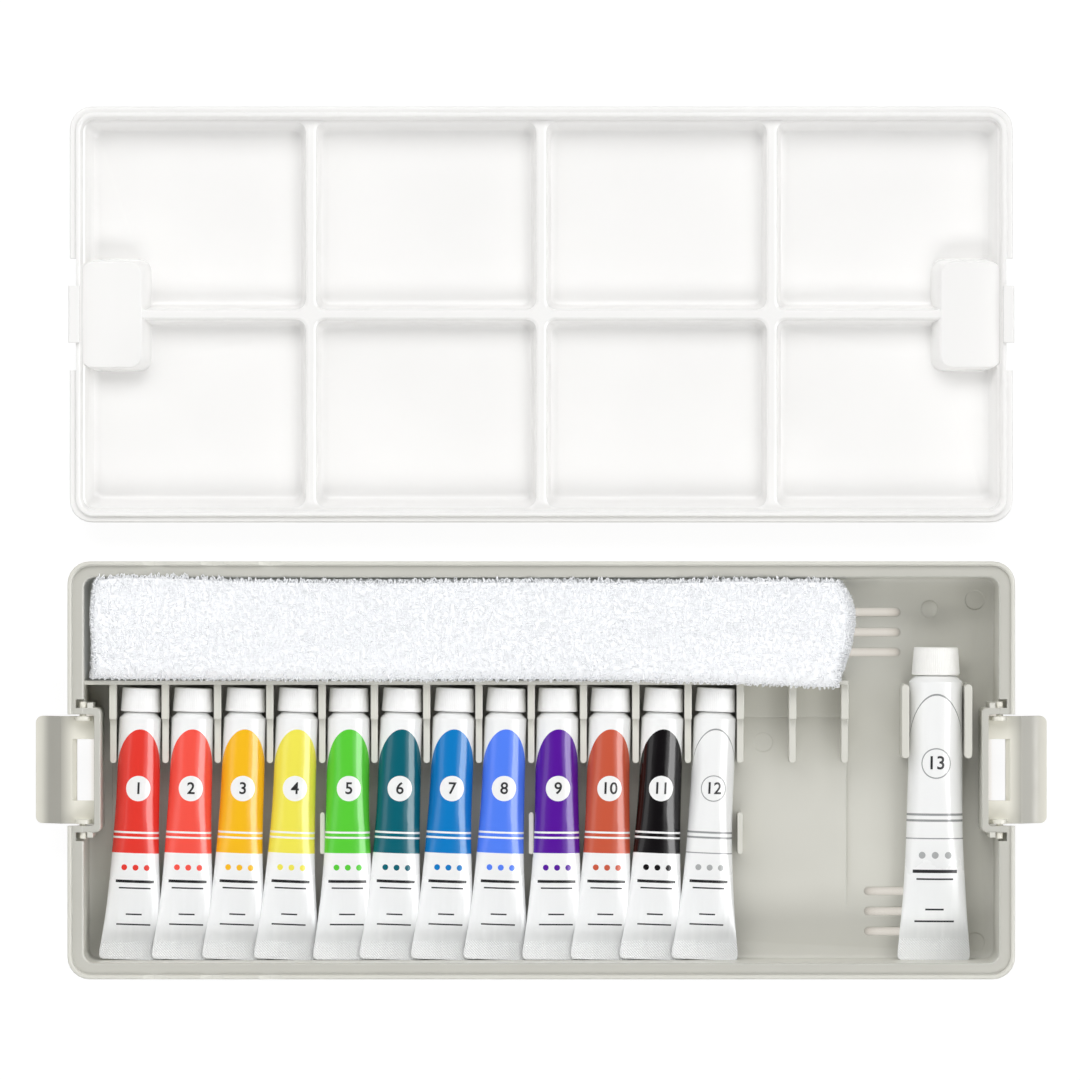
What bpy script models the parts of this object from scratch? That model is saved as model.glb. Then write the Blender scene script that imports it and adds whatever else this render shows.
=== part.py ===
"""A gouache paint set in its flat plastic box, open on the table.

The grey tray holds twelve small tubes in slots, one large tube between two clips, and a folded
towel. The white lid is an eight-well palette that lies behind the tray, wells up. Two levers
hinge on the tray's ends. Lengths are metres, X runs along the box, Y away from the user, Z up.
"""

import math

import bmesh
import bpy
from mathutils import Matrix, Vector

MM = 0.001

# Values that several pieces share
box_width = 161 * MM
corner_radius = 8.6 * MM
corner_share = 0.72  # how much of an inset the corner radius loses
halves_gap = 15 * MM  # between the tray and the lid lying behind it
seat_gap = 0.3 * MM  # left between pieces that rest on each other
overrun = 2 * MM  # how far a cutter runs past the faces it opens
soft_edge = 0.4 * MM  # the small break on a moulded top edge

# Tray shell
tray_height = 30 * MM
tray_floor = 2 * MM
tray_wall = 2 * MM
tray_band = 7.4 * MM  # height of the thick band round the rim
tray_foot_round = 1.4 * MM
lip_width = 1.8 * MM
ledge_drop = 1.6 * MM  # from the lip down to the ledge inside it
wall_inset = 6 * MM  # from the outer edge to the inner wall, at the ledge
wall_draft = 0.5 * MM
floor_fillet = 1.8 * MM

# Slots for the small tubes
slot_count = 14
slot_pitch = 20.2 * MM
slot_margin = 17 * MM  # from the left end of the box to the first divider
bay_length = 65.2 * MM  # from the last divider to the right end of the box
divider_width = 2.5 * MM
divider_head_width = 2.8 * MM
divider_height = 17 * MM
divider_head_height = 20 * MM
divider_length = 31.2 * MM
head_length = 13.6 * MM
head_overhang = 0.5 * MM
towel_wall_y = 33.6 * MM  # from the middle of the tray
towel_wall_width = 1.6 * MM
towel_wall_height = 22 * MM
pad_height = 2 * MM  # the raised floor under the small tubes
pad_flat = 74.2 * MM
pad_slope = 13.9 * MM
pad_margin = 0.3 * MM
shelf_rise = 1.6 * MM  # above the pad, under the caps
post_count = 3
post_step = 4  # slots from one post to the next
post_y = -24.8 * MM
post_length = 16.2 * MM
post_width = 1.9 * MM
post_height = 14 * MM

# Clips for the large tube, the stud, and the marks and vents in the floor
clip_y = 18.7 * MM
clip_length = 28.6 * MM
clip_width = 2.9 * MM
clip_height = 24 * MM
stud_inset = 31.7 * MM  # this and the next places are measured from the right end
stud_y = 61.9 * MM
stud_radius = 3.4 * MM
stud_height = 0.9 * MM  # above the floor
mark_radius = 3.8 * MM
mark_depth = 0.25 * MM
mark_inset = 14.1 * MM
mark_back_y = 65.4 * MM
mark_front_y = -67.6 * MM
mark_pad_reach = 31.2 * MM  # from the last divider
mark_pad_y = 10.2 * MM
vent_count = 3
vent_pitch = 7.8 * MM
vent_length = 27 * MM
vent_width = 3.3 * MM
vent_back_inset = 56.5 * MM
vent_back_y = 52.9 * MM
vent_front_inset = 43.7 * MM
vent_front_y = -55.5 * MM

# Brush rests pressed into the long rims
rest_count = 3
rest_inset = 33.5 * MM  # from the left end to the first rest
rest_pitch = 22.3 * MM
rest_radius = 9 * MM
rest_depth = 1.2 * MM

# End recesses that carry the levers
recess_depth = 10.2 * MM
recess_width = 43 * MM
recess_corner = 1 * MM
frame_wall = 2.5 * MM
frame_corner = 2 * MM
frame_drop = 0.2 * MM  # the frame's top lies this far under the ledge
hinge_inset = 5.8 * MM
hinge_height = 26.3 * MM
pin_radius = 1.3 * MM
pin_clearance = 0.2 * MM
pocket_start = 3.1 * MM
pocket_gap = 0.4 * MM  # round the pin's inner side
pocket_length = 3.3 * MM
pocket_floor = 23.6 * MM
gusset_reach = 9.7 * MM
gusset_width = 2 * MM

# Levers, as they lie when open: reach is measured outwards from the hinge
lever_side_gap = 0.75 * MM
lever_reach = 18.7 * MM
leg_reach = 4.2 * MM  # inwards
plate_width = 2 * MM
plate_drop = 3.4 * MM  # from the hinge down to the plate
window_width = 23.7 * MM
catch_reach = 4.3 * MM
catch_ramp = 1.8 * MM
scoop_start = 8.6 * MM
scoop_slope = 0.9  # its fall for each unit of reach, on the straight part
scoop_straight_share = 0.38  # of the scoop's span
scoop_level_share = 0.8  # where the scoop has levelled out
ear_radius = 2.6 * MM
ear_foot = 3.4 * MM
ear_width = 1.7 * MM
tip_corner = 2.6 * MM
pin_tail = 2.4 * MM  # past the frame, into the pocket

# Lid shell
lid_height = 15 * MM
lid_floor = 2.2 * MM
lid_band = 4 * MM
lid_foot_round = 1.4 * MM
lid_foot_inset = 6.4 * MM
lid_skirt_inset = 3.2 * MM
lid_lip_width = 2.2 * MM
lid_lip_drop = 1.3 * MM
lid_wall_inset = 4 * MM
lid_wall_foot = 8 * MM
well_columns = 4
well_rows = 2
well_corner = 3.9 * MM
well_fillet = 2.2 * MM
rib_drop = 3.5 * MM  # from the rim down to the ribs
rib_width = 2.4 * MM
rib_draft = 1.6 * MM  # gained on each side towards the floor
rib_round = 0.6 * MM
rib_ledge = 0.5 * MM

# Lid ends: a hump in the palette over each finger recess, notches and a tab
hump_drop = 3.3 * MM
hump_reach = 28 * MM
hump_width = 41.6 * MM
hump_draft = 3.4 * MM
hump_round = 1 * MM
hump_corner = 4.6 * MM
hump_wall = 2 * MM
recess_draft_share = 0.7  # of the hump's own draft
notch_depth = 2.5 * MM
notch_gap = 0.9 * MM
tab_gap = 0.85 * MM
tab_proud = 0.4 * MM
tab_rise = 1.9 * MM  # above the rim of the lid
tab_inset = 3.8 * MM

# Small tubes: the body runs from the shoulder at 0 to the crimped tail
tube_radius = 8.2 * MM
tube_length = 93.4 * MM
tube_crimp = 7.4 * MM
tube_slim_power = 1.7  # the body thins slowly at first, then fast towards the tail
tube_round_power = 0.9
tube_swell_power = 1.5  # how late the body widens as it flattens
tube_sheet = 0.9 * MM  # thickness of the flattened tail
tube_tail = 23.3 * MM  # width of a tail that no neighbour limits
tube_tail_gap = 0.6 * MM  # between two tails
tail_rise = 0.8 * MM  # the tail's edge rests on the rounded foot of the front wall
droop_power = 2  # the body sinks slowly at first, then fast towards the tail
tube_lean_degrees = [1.9, 1.8, 2.4, 2.4, 0.4, 2.1, 2.4, 1.4, 0.4, 1.3, 2.4, 2.4]
shoulder_y = 20.2 * MM  # from the middle of the tray
shoulder_rise = 1.8 * MM
shoulder_slope = 2.1 * MM  # lost from the radius over that rise
neck_radius = 4 * MM
neck_length = 7.4 * MM
cap_radius = 7.75 * MM
cap_taper = 0.4 * MM
cap_height = 9.2 * MM
cap_roof = 1.6 * MM
cap_bore_gap = 0.3 * MM

# Large tube
big_tube_radius = 10.4 * MM
big_tube_length = 107.5 * MM
big_tube_tail = 28 * MM
big_tube_inset = 29.8 * MM  # from the right end
big_shoulder_y = 34.3 * MM
big_neck_radius = 5 * MM
big_neck_length = 8.4 * MM
big_cap_radius = 9.3 * MM
big_cap_height = 10.8 * MM

# Towel
towel_overhang = 1 * MM  # past the last divider
towel_height = 27.4 * MM
towel_square = 4  # how square its section is
towel_end_round = 9 * MM
towel_end_share = 0.6  # how much of the end's rounding its sides and top take
towel_end_steps = 4

# Fineness of round shapes
corner_steps = 6
well_corner_steps = 4
fillet_steps = 2
round_steps = 16
cap_steps = 16
tube_sides = 14
rest_steps = 40
blade_end_steps = 3
frame_corner_steps = 3
towel_sides = 24
scoop_steps = 5
cap_end_steps = 6
body_shares = [0.02, 0.16, 0.32, 0.48, 0.62, 0.75, 0.87]
weld = 0.005 * MM  # points closer than this are one point

paint_colours = [
    ("carmine", (0.62, 0.02, 0.03)),
    ("scarlet", (0.75, 0.04, 0.03)),
    ("deep_yellow", (0.95, 0.42, 0.01)),
    ("lemon_yellow", (0.97, 0.86, 0.02)),
    ("light_green", (0.06, 0.52, 0.05)),
    ("viridian", (0.0, 0.16, 0.17)),
    ("sky_blue", (0.01, 0.22, 0.50)),
    ("ultramarine", (0.05, 0.12, 0.75)),
    ("violet", (0.09, 0.01, 0.30)),
    ("burnt_sienna", (0.42, 0.08, 0.03)),
    ("jet_black", (0.01, 0.01, 0.012)),
    ("titanium_white", (0.90, 0.90, 0.88)),
]

# Places worked out from the sizes above
box_length = slot_margin + slot_pitch * slot_count + bay_length
tray_y = -(box_width + halves_gap) / 2
lid_y = (box_width + halves_gap) / 2
half_length = box_length / 2
half_width = box_width / 2
ledge_height = tray_height - ledge_drop
frame_top = ledge_height - frame_drop
pad_top = tray_floor + pad_height
shelf_top = pad_top + shelf_rise
floor_root = tray_floor / 2  # moulded features start inside the floor
root_step = 0.2 * MM  # features that cross start at unlike depths
first_divider_x = slot_margin - half_length
last_divider_x = half_length - bay_length
big_tube_x = half_length - big_tube_inset
wall_root_x = half_length - wall_inset + tray_wall / 2  # middle of the end wall
lever_width = recess_width - 2 * lever_side_gap
hinge_x = half_length - hinge_inset
pocket_end = hinge_inset + pin_radius + pocket_gap
scoop_span = lever_reach - scoop_start
scoop_straight = scoop_straight_share * scoop_span
scoop_curve = (scoop_level_share - scoop_straight_share) * scoop_span
scoop_drop = scoop_slope * (scoop_straight + scoop_curve / 2)
lid_lip_top = lid_height - lid_lip_drop
rib_top = lid_height - rib_drop
hump_top = lid_height - hump_drop
tail_height = tray_floor + tail_rise + seat_gap + tube_sheet / 2  # middle of a crimped tail
small_axis_height = shelf_top + seat_gap + cap_radius
big_axis_height = tray_floor + seat_gap + big_tube_radius


def clear_scene():
    for old in list(bpy.data.objects):
        bpy.data.objects.remove(old, do_unlink=True)


def make_collection(name):
    group = bpy.data.collections.new(name)
    bpy.context.scene.collection.children.link(group)
    return group


def make_material(name, colour, roughness, metallic=0.0):
    made = bpy.data.materials.new(name)
    made.use_nodes = True
    shader = made.node_tree.nodes["Principled BSDF"]
    shader.inputs["Base Color"].default_value = (*colour, 1.0)
    shader.inputs["Roughness"].default_value = roughness
    shader.inputs["Metallic"].default_value = metallic
    made.diffuse_color = (*colour, 1.0)
    return made


clear_scene()
parts = make_collection("gouache_set")
cutters = make_collection("cutters")
tray_plastic = make_material("tray_plastic", (0.56, 0.55, 0.50), 0.42)
lid_plastic = make_material("lid_plastic", (0.88, 0.88, 0.88), 0.22)
lever_plastic = make_material("lever_plastic", (0.60, 0.58, 0.51), 0.42)
cap_plastic = make_material("cap_plastic", (0.88, 0.88, 0.87), 0.35)
terry = make_material("terry", (0.86, 0.88, 0.93), 0.95)


def mesh_object(name, bm, group, material=None):
    """Puts a bmesh in the scene as an object, with its faces turned outwards."""
    bmesh.ops.recalc_face_normals(bm, faces=bm.faces)
    mesh = bpy.data.meshes.new(name)
    bm.to_mesh(mesh)
    bm.free()
    made = bpy.data.objects.new(name, mesh)
    group.objects.link(made)
    if material:
        mesh.materials.append(material)
    return made


def tool_object(name, bm, place=(0, 0, 0)):
    """A helper that adds to a piece or cuts it, and isn't a piece itself."""
    made = mesh_object(name, bm, cutters)
    made.location = place
    made.hide_render = True
    made.display_type = "WIRE"
    return made


def combine(piece, tool, operation):
    step = piece.modifiers.new(tool.name, "BOOLEAN")
    step.operation = operation
    step.solver = "EXACT"
    step.object = tool


def smooth(piece, angle=math.radians(32)):
    piece.data.shade_smooth()
    piece.data.set_sharp_from_angle(angle=angle)


def rounded_ring(low_x, high_x, low_y, high_y, radius, z, steps=corner_steps):
    """The points of a rounded rectangle at height z, anticlockwise from its right side."""
    corners = [
        (high_x - radius, high_y - radius, 0),
        (low_x + radius, high_y - radius, 1),
        (low_x + radius, low_y + radius, 2),
        (high_x - radius, low_y + radius, 3),
    ]
    points = []
    for x, y, quarter in corners:
        for step in range(steps + 1):
            turn = (quarter + step / steps) * math.pi / 2
            points.append(Vector((x + radius * math.cos(turn), y + radius * math.sin(turn), z)))
    return points


def box_ring(inset, z):
    """The box's own outline, drawn in by the inset."""
    radius = corner_radius - inset * corner_share
    side_x = half_length - inset
    side_y = half_width - inset
    return rounded_ring(-side_x, side_x, -side_y, side_y, radius, z)


def add_loft(bm, rings):
    """A closed skin over rings that all have the same number of points."""
    rows = [[bm.verts.new(point) for point in ring] for ring in rings]
    count = len(rows[0])
    for lower, upper in zip(rows, rows[1:]):
        for here in range(count):
            after = (here + 1) % count
            bm.faces.new((lower[here], lower[after], upper[after], upper[here]))
    bm.faces.new(list(reversed(rows[0])))
    bm.faces.new(rows[-1])


def loft(*rings):
    bm = bmesh.new()
    add_loft(bm, rings)
    return bm


def add_box(bm, low, high):
    size = Vector(high) - Vector(low)
    middle = (Vector(high) + Vector(low)) / 2
    bmesh.ops.create_cube(bm, size=1, matrix=Matrix.Translation(middle) @ Matrix.Diagonal((*size, 1)))


def add_rod(bm, radius, start, end, sides=round_steps):
    """A cylinder from start to end."""
    along = Vector(end) - Vector(start)
    turn = Vector((0, 0, 1)).rotation_difference(along).to_matrix().to_4x4()
    place = Matrix.Translation((Vector(start) + Vector(end)) / 2) @ turn
    bmesh.ops.create_cone(
        bm, cap_ends=True, segments=sides, radius1=radius, radius2=radius, depth=along.length, matrix=place
    )


def add_capsule(bm, centre, length, width, low_z, high_z, along_x=False):
    """An upright blade with rounded ends."""
    x, y = centre
    half_x, half_y = (length / 2, width / 2) if along_x else (width / 2, length / 2)
    # The radius stays a little under half the width, so that the two arcs of an end share no point.
    radius = width / 2 - weld
    rings = [
        rounded_ring(x - half_x, x + half_x, y - half_y, y + half_y, radius, z, blade_end_steps)
        for z in (low_z, high_z)
    ]
    add_loft(bm, rings)


def flat_outline(name, points, thickness, turn):
    """A plate of this outline, drawn flat about the origin and then turned into place."""
    curve = bpy.data.curves.new(name, "CURVE")
    curve.dimensions = "2D"
    curve.fill_mode = "BOTH"
    curve.extrude = thickness / 2
    spline = curve.splines.new("POLY")
    spline.points.add(len(points) - 1)
    for point, (x, y) in zip(spline.points, points):
        point.co = (x, y, 0, 1)
    spline.use_cyclic_u = True
    drawn = bpy.data.objects.new(name, curve)
    bpy.context.scene.collection.objects.link(drawn)
    graph = bpy.context.evaluated_depsgraph_get()
    mesh = bpy.data.meshes.new_from_object(drawn.evaluated_get(graph))
    bpy.data.objects.remove(drawn, do_unlink=True)
    bm = bmesh.new()
    bm.from_mesh(mesh)
    bpy.data.meshes.remove(mesh)
    bmesh.ops.remove_doubles(bm, verts=bm.verts, dist=weld)
    bmesh.ops.transform(bm, matrix=turn, verts=bm.verts)
    return bm


def divider_x(number):
    return first_divider_x + slot_pitch * number


def tube_fullness(share):
    """How round a filled tube still is at this share of its length."""
    return (1 - share**tube_slim_power) ** tube_round_power


def tube_half_height(share, radius):
    return max(radius * tube_fullness(share), tube_sheet / 2)


def tray_shell():
    """The open shell: drafted walls with a thick band, a lip and a ledge round the rim."""
    band_low = tray_height - tray_band
    outer_inset = wall_inset - tray_wall
    foot_inset = outer_inset + wall_draft
    tray = mesh_object(
        "base_tray",
        loft(
            box_ring(foot_inset + tray_foot_round, 0),
            box_ring(foot_inset, tray_foot_round),
            box_ring(outer_inset, band_low),
            box_ring(0, band_low),
            box_ring(0, tray_height - soft_edge),
            box_ring(soft_edge, tray_height),
        ),
        parts,
        tray_plastic,
    )
    tray.location = (0, tray_y, 0)
    rings = []
    for step in range(fillet_steps + 1):
        turn = step / fillet_steps * math.pi / 2
        inset = wall_inset + wall_draft + floor_fillet * (1 - math.sin(turn))
        rings.append(box_ring(inset, tray_floor + floor_fillet * (1 - math.cos(turn))))
    rings += [
        box_ring(wall_inset + soft_edge / 2, ledge_height - soft_edge),
        box_ring(wall_inset - soft_edge, ledge_height),
        box_ring(lip_width, ledge_height),
        box_ring(lip_width - soft_edge / 2, tray_height - soft_edge),
        box_ring(lip_width - soft_edge / 2 - soft_edge, tray_height),
        box_ring(lip_width - soft_edge / 2 - soft_edge, tray_height + overrun),
    ]
    combine(tray, tool_object("tray_cavity", loft(*rings), tray.location), "DIFFERENCE")
    return tray


def end_ring(end, inner, outer, side, radius, z):
    """A slice of a block at one end of the box, with its two inner corners rounded."""
    points = [Vector((outer, -side, z)), Vector((outer, side, z))]
    for quarter in (1, 2):
        flank = 1 if quarter == 1 else -1
        for step in range(frame_corner_steps + 1):
            turn = (quarter + step / frame_corner_steps) * math.pi / 2
            points.append(Vector((inner + radius * (1 + math.cos(turn)),
                                  flank * (side - radius) + radius * math.sin(turn), z)))
    return [Vector((end * x, end * y, z)) for x, y, z in points]


def tray_frames():
    """The C-shaped walls round the levers, before the recess is opened, and their gussets."""
    frames = bmesh.new()
    gussets = bmesh.new()
    side = recess_width / 2 + frame_wall
    inner = half_length - recess_depth - frame_wall
    for end in (-1, 1):
        slices = ((floor_root, 0), (frame_top - soft_edge, 0), (frame_top, soft_edge))
        add_loft(frames, [
            end_ring(end, inner + inset, wall_root_x, side - inset, frame_corner - inset, z)
            for z, inset in slices
        ])
        for flank in (-1, 1):
            xs = sorted((end * wall_root_x, end * (half_length - gusset_reach)))
            ys = sorted((flank * (side - frame_wall / 2), flank * (side + gusset_width)))
            add_box(gussets, (xs[0], ys[0], floor_root + 2 * root_step),
                    (xs[1], ys[1], frame_top - soft_edge))
    return frames, gussets


def tray_slots():
    """The towel wall, and the blades, heads, shelf and sloped pad that hold the small tubes."""
    wall = bmesh.new()
    end_x = last_divider_x + divider_width / 2
    add_box(wall, (-wall_root_x, towel_wall_y - towel_wall_width / 2, floor_root),
            (end_x, towel_wall_y + towel_wall_width / 2, towel_wall_height))
    blades = bmesh.new()
    heads = bmesh.new()
    for number in range(slot_count + 1):
        x = divider_x(number)
        middle = towel_wall_y - divider_length / 2
        add_capsule(blades, (x, middle), divider_length, divider_width, floor_root, divider_height)
        half = divider_head_width / 2
        add_box(heads, (x - half, towel_wall_y - head_length - head_overhang, floor_root + root_step),
                (x + half, towel_wall_y, divider_head_height))
    shelf = bmesh.new()
    add_box(shelf, (first_divider_x, towel_wall_y - head_length, floor_root + 3 * root_step),
            (last_divider_x, towel_wall_y, shelf_top))
    flat_end = towel_wall_y - pad_flat
    pad_length = last_divider_x - first_divider_x + divider_width - 2 * pad_margin
    outline = [
        (towel_wall_y, floor_root),
        (towel_wall_y, pad_top),
        (flat_end, pad_top),
        (flat_end - pad_slope, tray_floor),
        (flat_end - pad_slope, floor_root),
    ]
    # The outline is drawn in Y and Z, and stands across the tray.
    middle_x = (first_divider_x + last_divider_x) / 2
    turn = Matrix(((0, 0, 1, middle_x), (1, 0, 0, 0), (0, 1, 0, 0), (0, 0, 0, 1)))
    pad = flat_outline("pad", outline, pad_length, turn)
    return wall, blades, heads, shelf, pad


def tray_uprights():
    """Second row of posts, the two clips of the large tube, and the small stud."""
    made = bmesh.new()
    for number in range(1, post_count + 1):
        x = divider_x(number * post_step)
        add_capsule(made, (x, post_y), post_length, post_width, floor_root, post_height)
    reach = big_tube_radius + seat_gap + clip_width / 2
    for side in (-1, 1):
        x = big_tube_x + side * reach
        add_capsule(made, (x, clip_y), clip_length, clip_width, floor_root, clip_height)
    low = Matrix.Translation((half_length - stud_inset, stud_y, tray_floor))
    flat = Matrix.Diagonal((1, 1, stud_height / stud_radius, 1))
    bmesh.ops.create_uvsphere(made, u_segments=round_steps, v_segments=round_steps // 2,
                              radius=stud_radius, matrix=low @ flat)
    return made


def tray_openings():
    """The end recesses, pin pockets and bores, floor vents, marks and brush rests."""
    recesses = bmesh.new()
    pockets = bmesh.new()
    bores = bmesh.new()
    side = recess_width / 2
    frame_side = side + frame_wall
    for end in (-1, 1):
        add_loft(recesses, [
            end_ring(end, half_length - recess_depth, half_length + overrun, side, recess_corner, z)
            for z in (-overrun, tray_height + overrun)
        ])
        reach = frame_side + pocket_length / 2
        add_rod(bores, pin_radius + pin_clearance, (end * hinge_x, -reach, hinge_height),
                (end * hinge_x, reach, hinge_height))
        for flank in (-1, 1):
            xs = sorted((end * (half_length - pocket_start), end * (half_length - pocket_end)))
            ys = sorted((flank * frame_side, flank * (frame_side + pocket_length)))
            add_box(pockets, (xs[0], ys[0], pocket_floor), (xs[1], ys[1], tray_height + overrun))
    vents = bmesh.new()
    for inset, group_y in ((vent_back_inset, vent_back_y), (vent_front_inset, vent_front_y)):
        for number in range(vent_count):
            y = group_y + (number - (vent_count - 1) / 2) * vent_pitch
            add_capsule(vents, (half_length - inset, y), vent_length, vent_width,
                        -overrun, tray_floor + overrun, along_x=True)
    marks = (
        (half_length - mark_inset, mark_back_y, tray_floor),
        (half_length - mark_inset, mark_front_y, tray_floor),
        (last_divider_x - mark_pad_reach, mark_pad_y, pad_top),
    )
    for x, y, top in marks:
        add_rod(vents, mark_radius, (x, y, top - mark_depth), (x, y, top + overrun))
    rests = bmesh.new()
    rest_z = tray_height - rest_depth + rest_radius
    for number in range(rest_count):
        x = rest_inset - half_length + rest_pitch * number
        add_rod(rests, rest_radius, (x, -half_width - overrun, rest_z),
                (x, half_width + overrun, rest_z), rest_steps)
    return recesses, pockets, bores, vents, rests


def build_tray():
    tray = tray_shell()
    frames, gussets = tray_frames()
    wall, blades, heads, shelf, pad = tray_slots()
    added = {
        "frames": frames, "gussets": gussets, "towel_wall": wall, "pad": pad, "shelf": shelf,
        "blades": blades, "heads": heads, "uprights": tray_uprights(),
    }
    for name, bm in added.items():
        combine(tray, tool_object("tray_" + name, bm, tray.location), "UNION")
    for name, bm in zip(("recesses", "pockets", "bores", "vents", "rests"), tray_openings()):
        combine(tray, tool_object("tray_" + name, bm, tray.location), "DIFFERENCE")
    smooth(tray)


def lid_wall_at(z):
    """How far the palette's inner wall stands in from the outer edge at height z."""
    slope = (lid_wall_foot - lid_wall_inset) / (lid_height - lid_floor)
    return lid_wall_inset + slope * (lid_height - z)


def well_rings(low_x, high_x, low_y, high_y):
    """One paint well between the given sides, each a pair: its place at rib height and its draft."""
    depth = rib_top - lid_floor

    def ring(z, grow, radius):
        fall = (rib_top - z) / depth
        return rounded_ring(
            low_x[0] + low_x[1] * fall - grow, high_x[0] - high_x[1] * fall + grow,
            low_y[0] + low_y[1] * fall - grow, high_y[0] - high_y[1] * fall + grow,
            radius + grow, z, steps=well_corner_steps,
        )

    rings = []
    for step in range(fillet_steps + 1):
        turn = step / fillet_steps * math.pi / 2
        z = lid_floor + well_fillet * (1 - math.cos(turn))
        rings.append(ring(z, -well_fillet * (1 - math.sin(turn)), well_corner))
    rings.append(ring(rib_top - rib_round, 0, well_corner))
    rings.append(ring(rib_top, rib_round, well_corner - rib_round))
    rings.append(ring(rib_top + soft_edge, rib_round, well_corner - rib_round))
    return rings


def lid_wells():
    """Four columns and two rows of wells, with drafted ribs between them."""
    wells = bmesh.new()
    wall = lid_wall_at(rib_top) + rib_ledge
    wall_draft_share = lid_wall_at(lid_floor) - lid_wall_at(rib_top)
    pitch_x = (box_length - 2 * lid_wall_inset) / well_columns
    rib = rib_width / 2 + rib_round
    for column in range(well_columns):
        left = (-half_length + wall, wall_draft_share)
        right = (half_length - wall, wall_draft_share)
        if column:
            left = (-half_length + lid_wall_inset + column * pitch_x + rib, rib_draft)
        if column < well_columns - 1:
            right = (-half_length + lid_wall_inset + (column + 1) * pitch_x - rib, rib_draft)
        for row in range(well_rows):
            low = (rib, rib_draft) if row else (-half_width + wall, wall_draft_share)
            high = (half_width - wall, wall_draft_share) if row else (-rib, rib_draft)
            add_loft(wells, well_rings(left, right, low, high))
    return wells


def hump_ring(end, z, inner_reach, width, outer_inset, radius):
    """A slice of the hump, from the end wall to its reach."""
    xs = sorted((end * (half_length - outer_inset), end * (half_length - inner_reach)))
    return rounded_ring(xs[0], xs[1], -width / 2, width / 2, radius, z, steps=well_corner_steps)


def lid_humps():
    """The two humps over the finger recesses, and the recesses cut up into them from below."""
    humps = bmesh.new()
    recesses = bmesh.new()
    root = lid_floor / 2
    fall = hump_top - lid_floor

    def skirt(z):
        span = lid_height - lid_band - lid_foot_round
        drop = lid_height - lid_band - z
        slope = (lid_foot_inset - lid_skirt_inset) / span
        return lid_skirt_inset + slope * max(drop, 0) + lid_floor / 2

    for end in (-1, 1):
        slices = (
            (root, hump_draft), (lid_floor + hump_round, hump_draft - hump_round / 2),
            (hump_top - hump_round, hump_round / 2),
        )
        widen = 2 * hump_round / hump_draft
        rings = [
            hump_ring(end, z, hump_reach + out, hump_width + widen * out, skirt(z), hump_corner)
            for z, out in slices
        ]
        rings.append(hump_ring(end, hump_top, hump_reach - hump_round / 2, hump_width - hump_round,
                               skirt(hump_top), hump_corner - hump_round / 2))
        add_loft(humps, rings)
        roof = hump_top - hump_wall
        rings = []
        for z in (-overrun, 0, roof - hump_round, roof):
            out = recess_draft_share * hump_draft * max(roof - z, 0) / fall
            edge = hump_round / 2 if z == roof else 0
            rings.append(hump_ring(end, z, hump_reach - hump_wall + out - edge,
                                   hump_width - 2 * hump_wall - 2 * edge,
                                   -overrun, hump_corner - hump_wall / 2))
        add_loft(recesses, rings)
    return humps, recesses


def lid_tab(end):
    """The tab that a lever's window catches, with a sloped catch face."""
    slope = (plate_width - tab_proud) / plate_width
    face_low = lid_height + soft_edge
    face_high = face_low - catch_ramp * slope - soft_edge
    top = lid_height + tab_rise
    reach = half_length
    outline = [
        (end * (reach + tab_proud), face_low),
        (end * (reach + tab_proud), top - soft_edge),
        (end * (reach + tab_proud - soft_edge), top),
        (end * (reach - tab_inset + soft_edge), top),
        (end * (reach - tab_inset), top - soft_edge),
        (end * (reach - tab_inset), face_high - soft_edge),
        (end * (reach - notch_depth - soft_edge), face_high),
    ]
    width = window_width - 2 * tab_gap
    # The outline is drawn in X and Z, and stands along Y.
    turn = Matrix(((1, 0, 0, 0), (0, 0, -1, 0), (0, 1, 0, 0), (0, 0, 0, 1)))
    return flat_outline("tab", outline, width, turn)


def build_lid():
    band_low = lid_height - lid_band
    lid = mesh_object(
        "palette_lid",
        loft(
            box_ring(lid_foot_inset + lid_foot_round, 0),
            box_ring(lid_foot_inset, lid_foot_round),
            box_ring(lid_skirt_inset, band_low),
            box_ring(0, band_low),
            box_ring(0, lid_lip_top - soft_edge),
            box_ring(soft_edge, lid_lip_top),
            box_ring(lid_lip_width, lid_lip_top),
            box_ring(lid_lip_width, lid_height - soft_edge),
            box_ring(lid_lip_width + soft_edge, lid_height),
        ),
        parts,
        lid_plastic,
    )
    lid.location = (0, lid_y, 0)
    basin = loft(
        box_ring(lid_wall_at(rib_top), rib_top),
        box_ring(lid_wall_at(lid_height - soft_edge), lid_height - soft_edge),
        box_ring(lid_wall_inset - soft_edge, lid_height),
        box_ring(lid_wall_inset - soft_edge, lid_height + overrun),
    )
    combine(lid, tool_object("lid_basin", basin, lid.location), "DIFFERENCE")
    combine(lid, tool_object("lid_wells", lid_wells(), lid.location), "DIFFERENCE")
    humps, recesses = lid_humps()
    combine(lid, tool_object("lid_humps", humps, lid.location), "UNION")
    combine(lid, tool_object("lid_recesses", recesses, lid.location), "DIFFERENCE")
    notches = bmesh.new()
    side = lever_width / 2 + notch_gap
    for end in (-1, 1):
        xs = sorted((end * (half_length + overrun), end * (half_length - notch_depth)))
        add_box(notches, (xs[0], -side, -overrun), (xs[1], side, lid_height + overrun))
    combine(lid, tool_object("lid_notches", notches, lid.location), "DIFFERENCE")
    for end, side_name in ((-1, "left"), (1, "right")):
        combine(lid, tool_object("lid_tab_" + side_name, lid_tab(end), lid.location), "UNION")
    smooth(lid)


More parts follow.
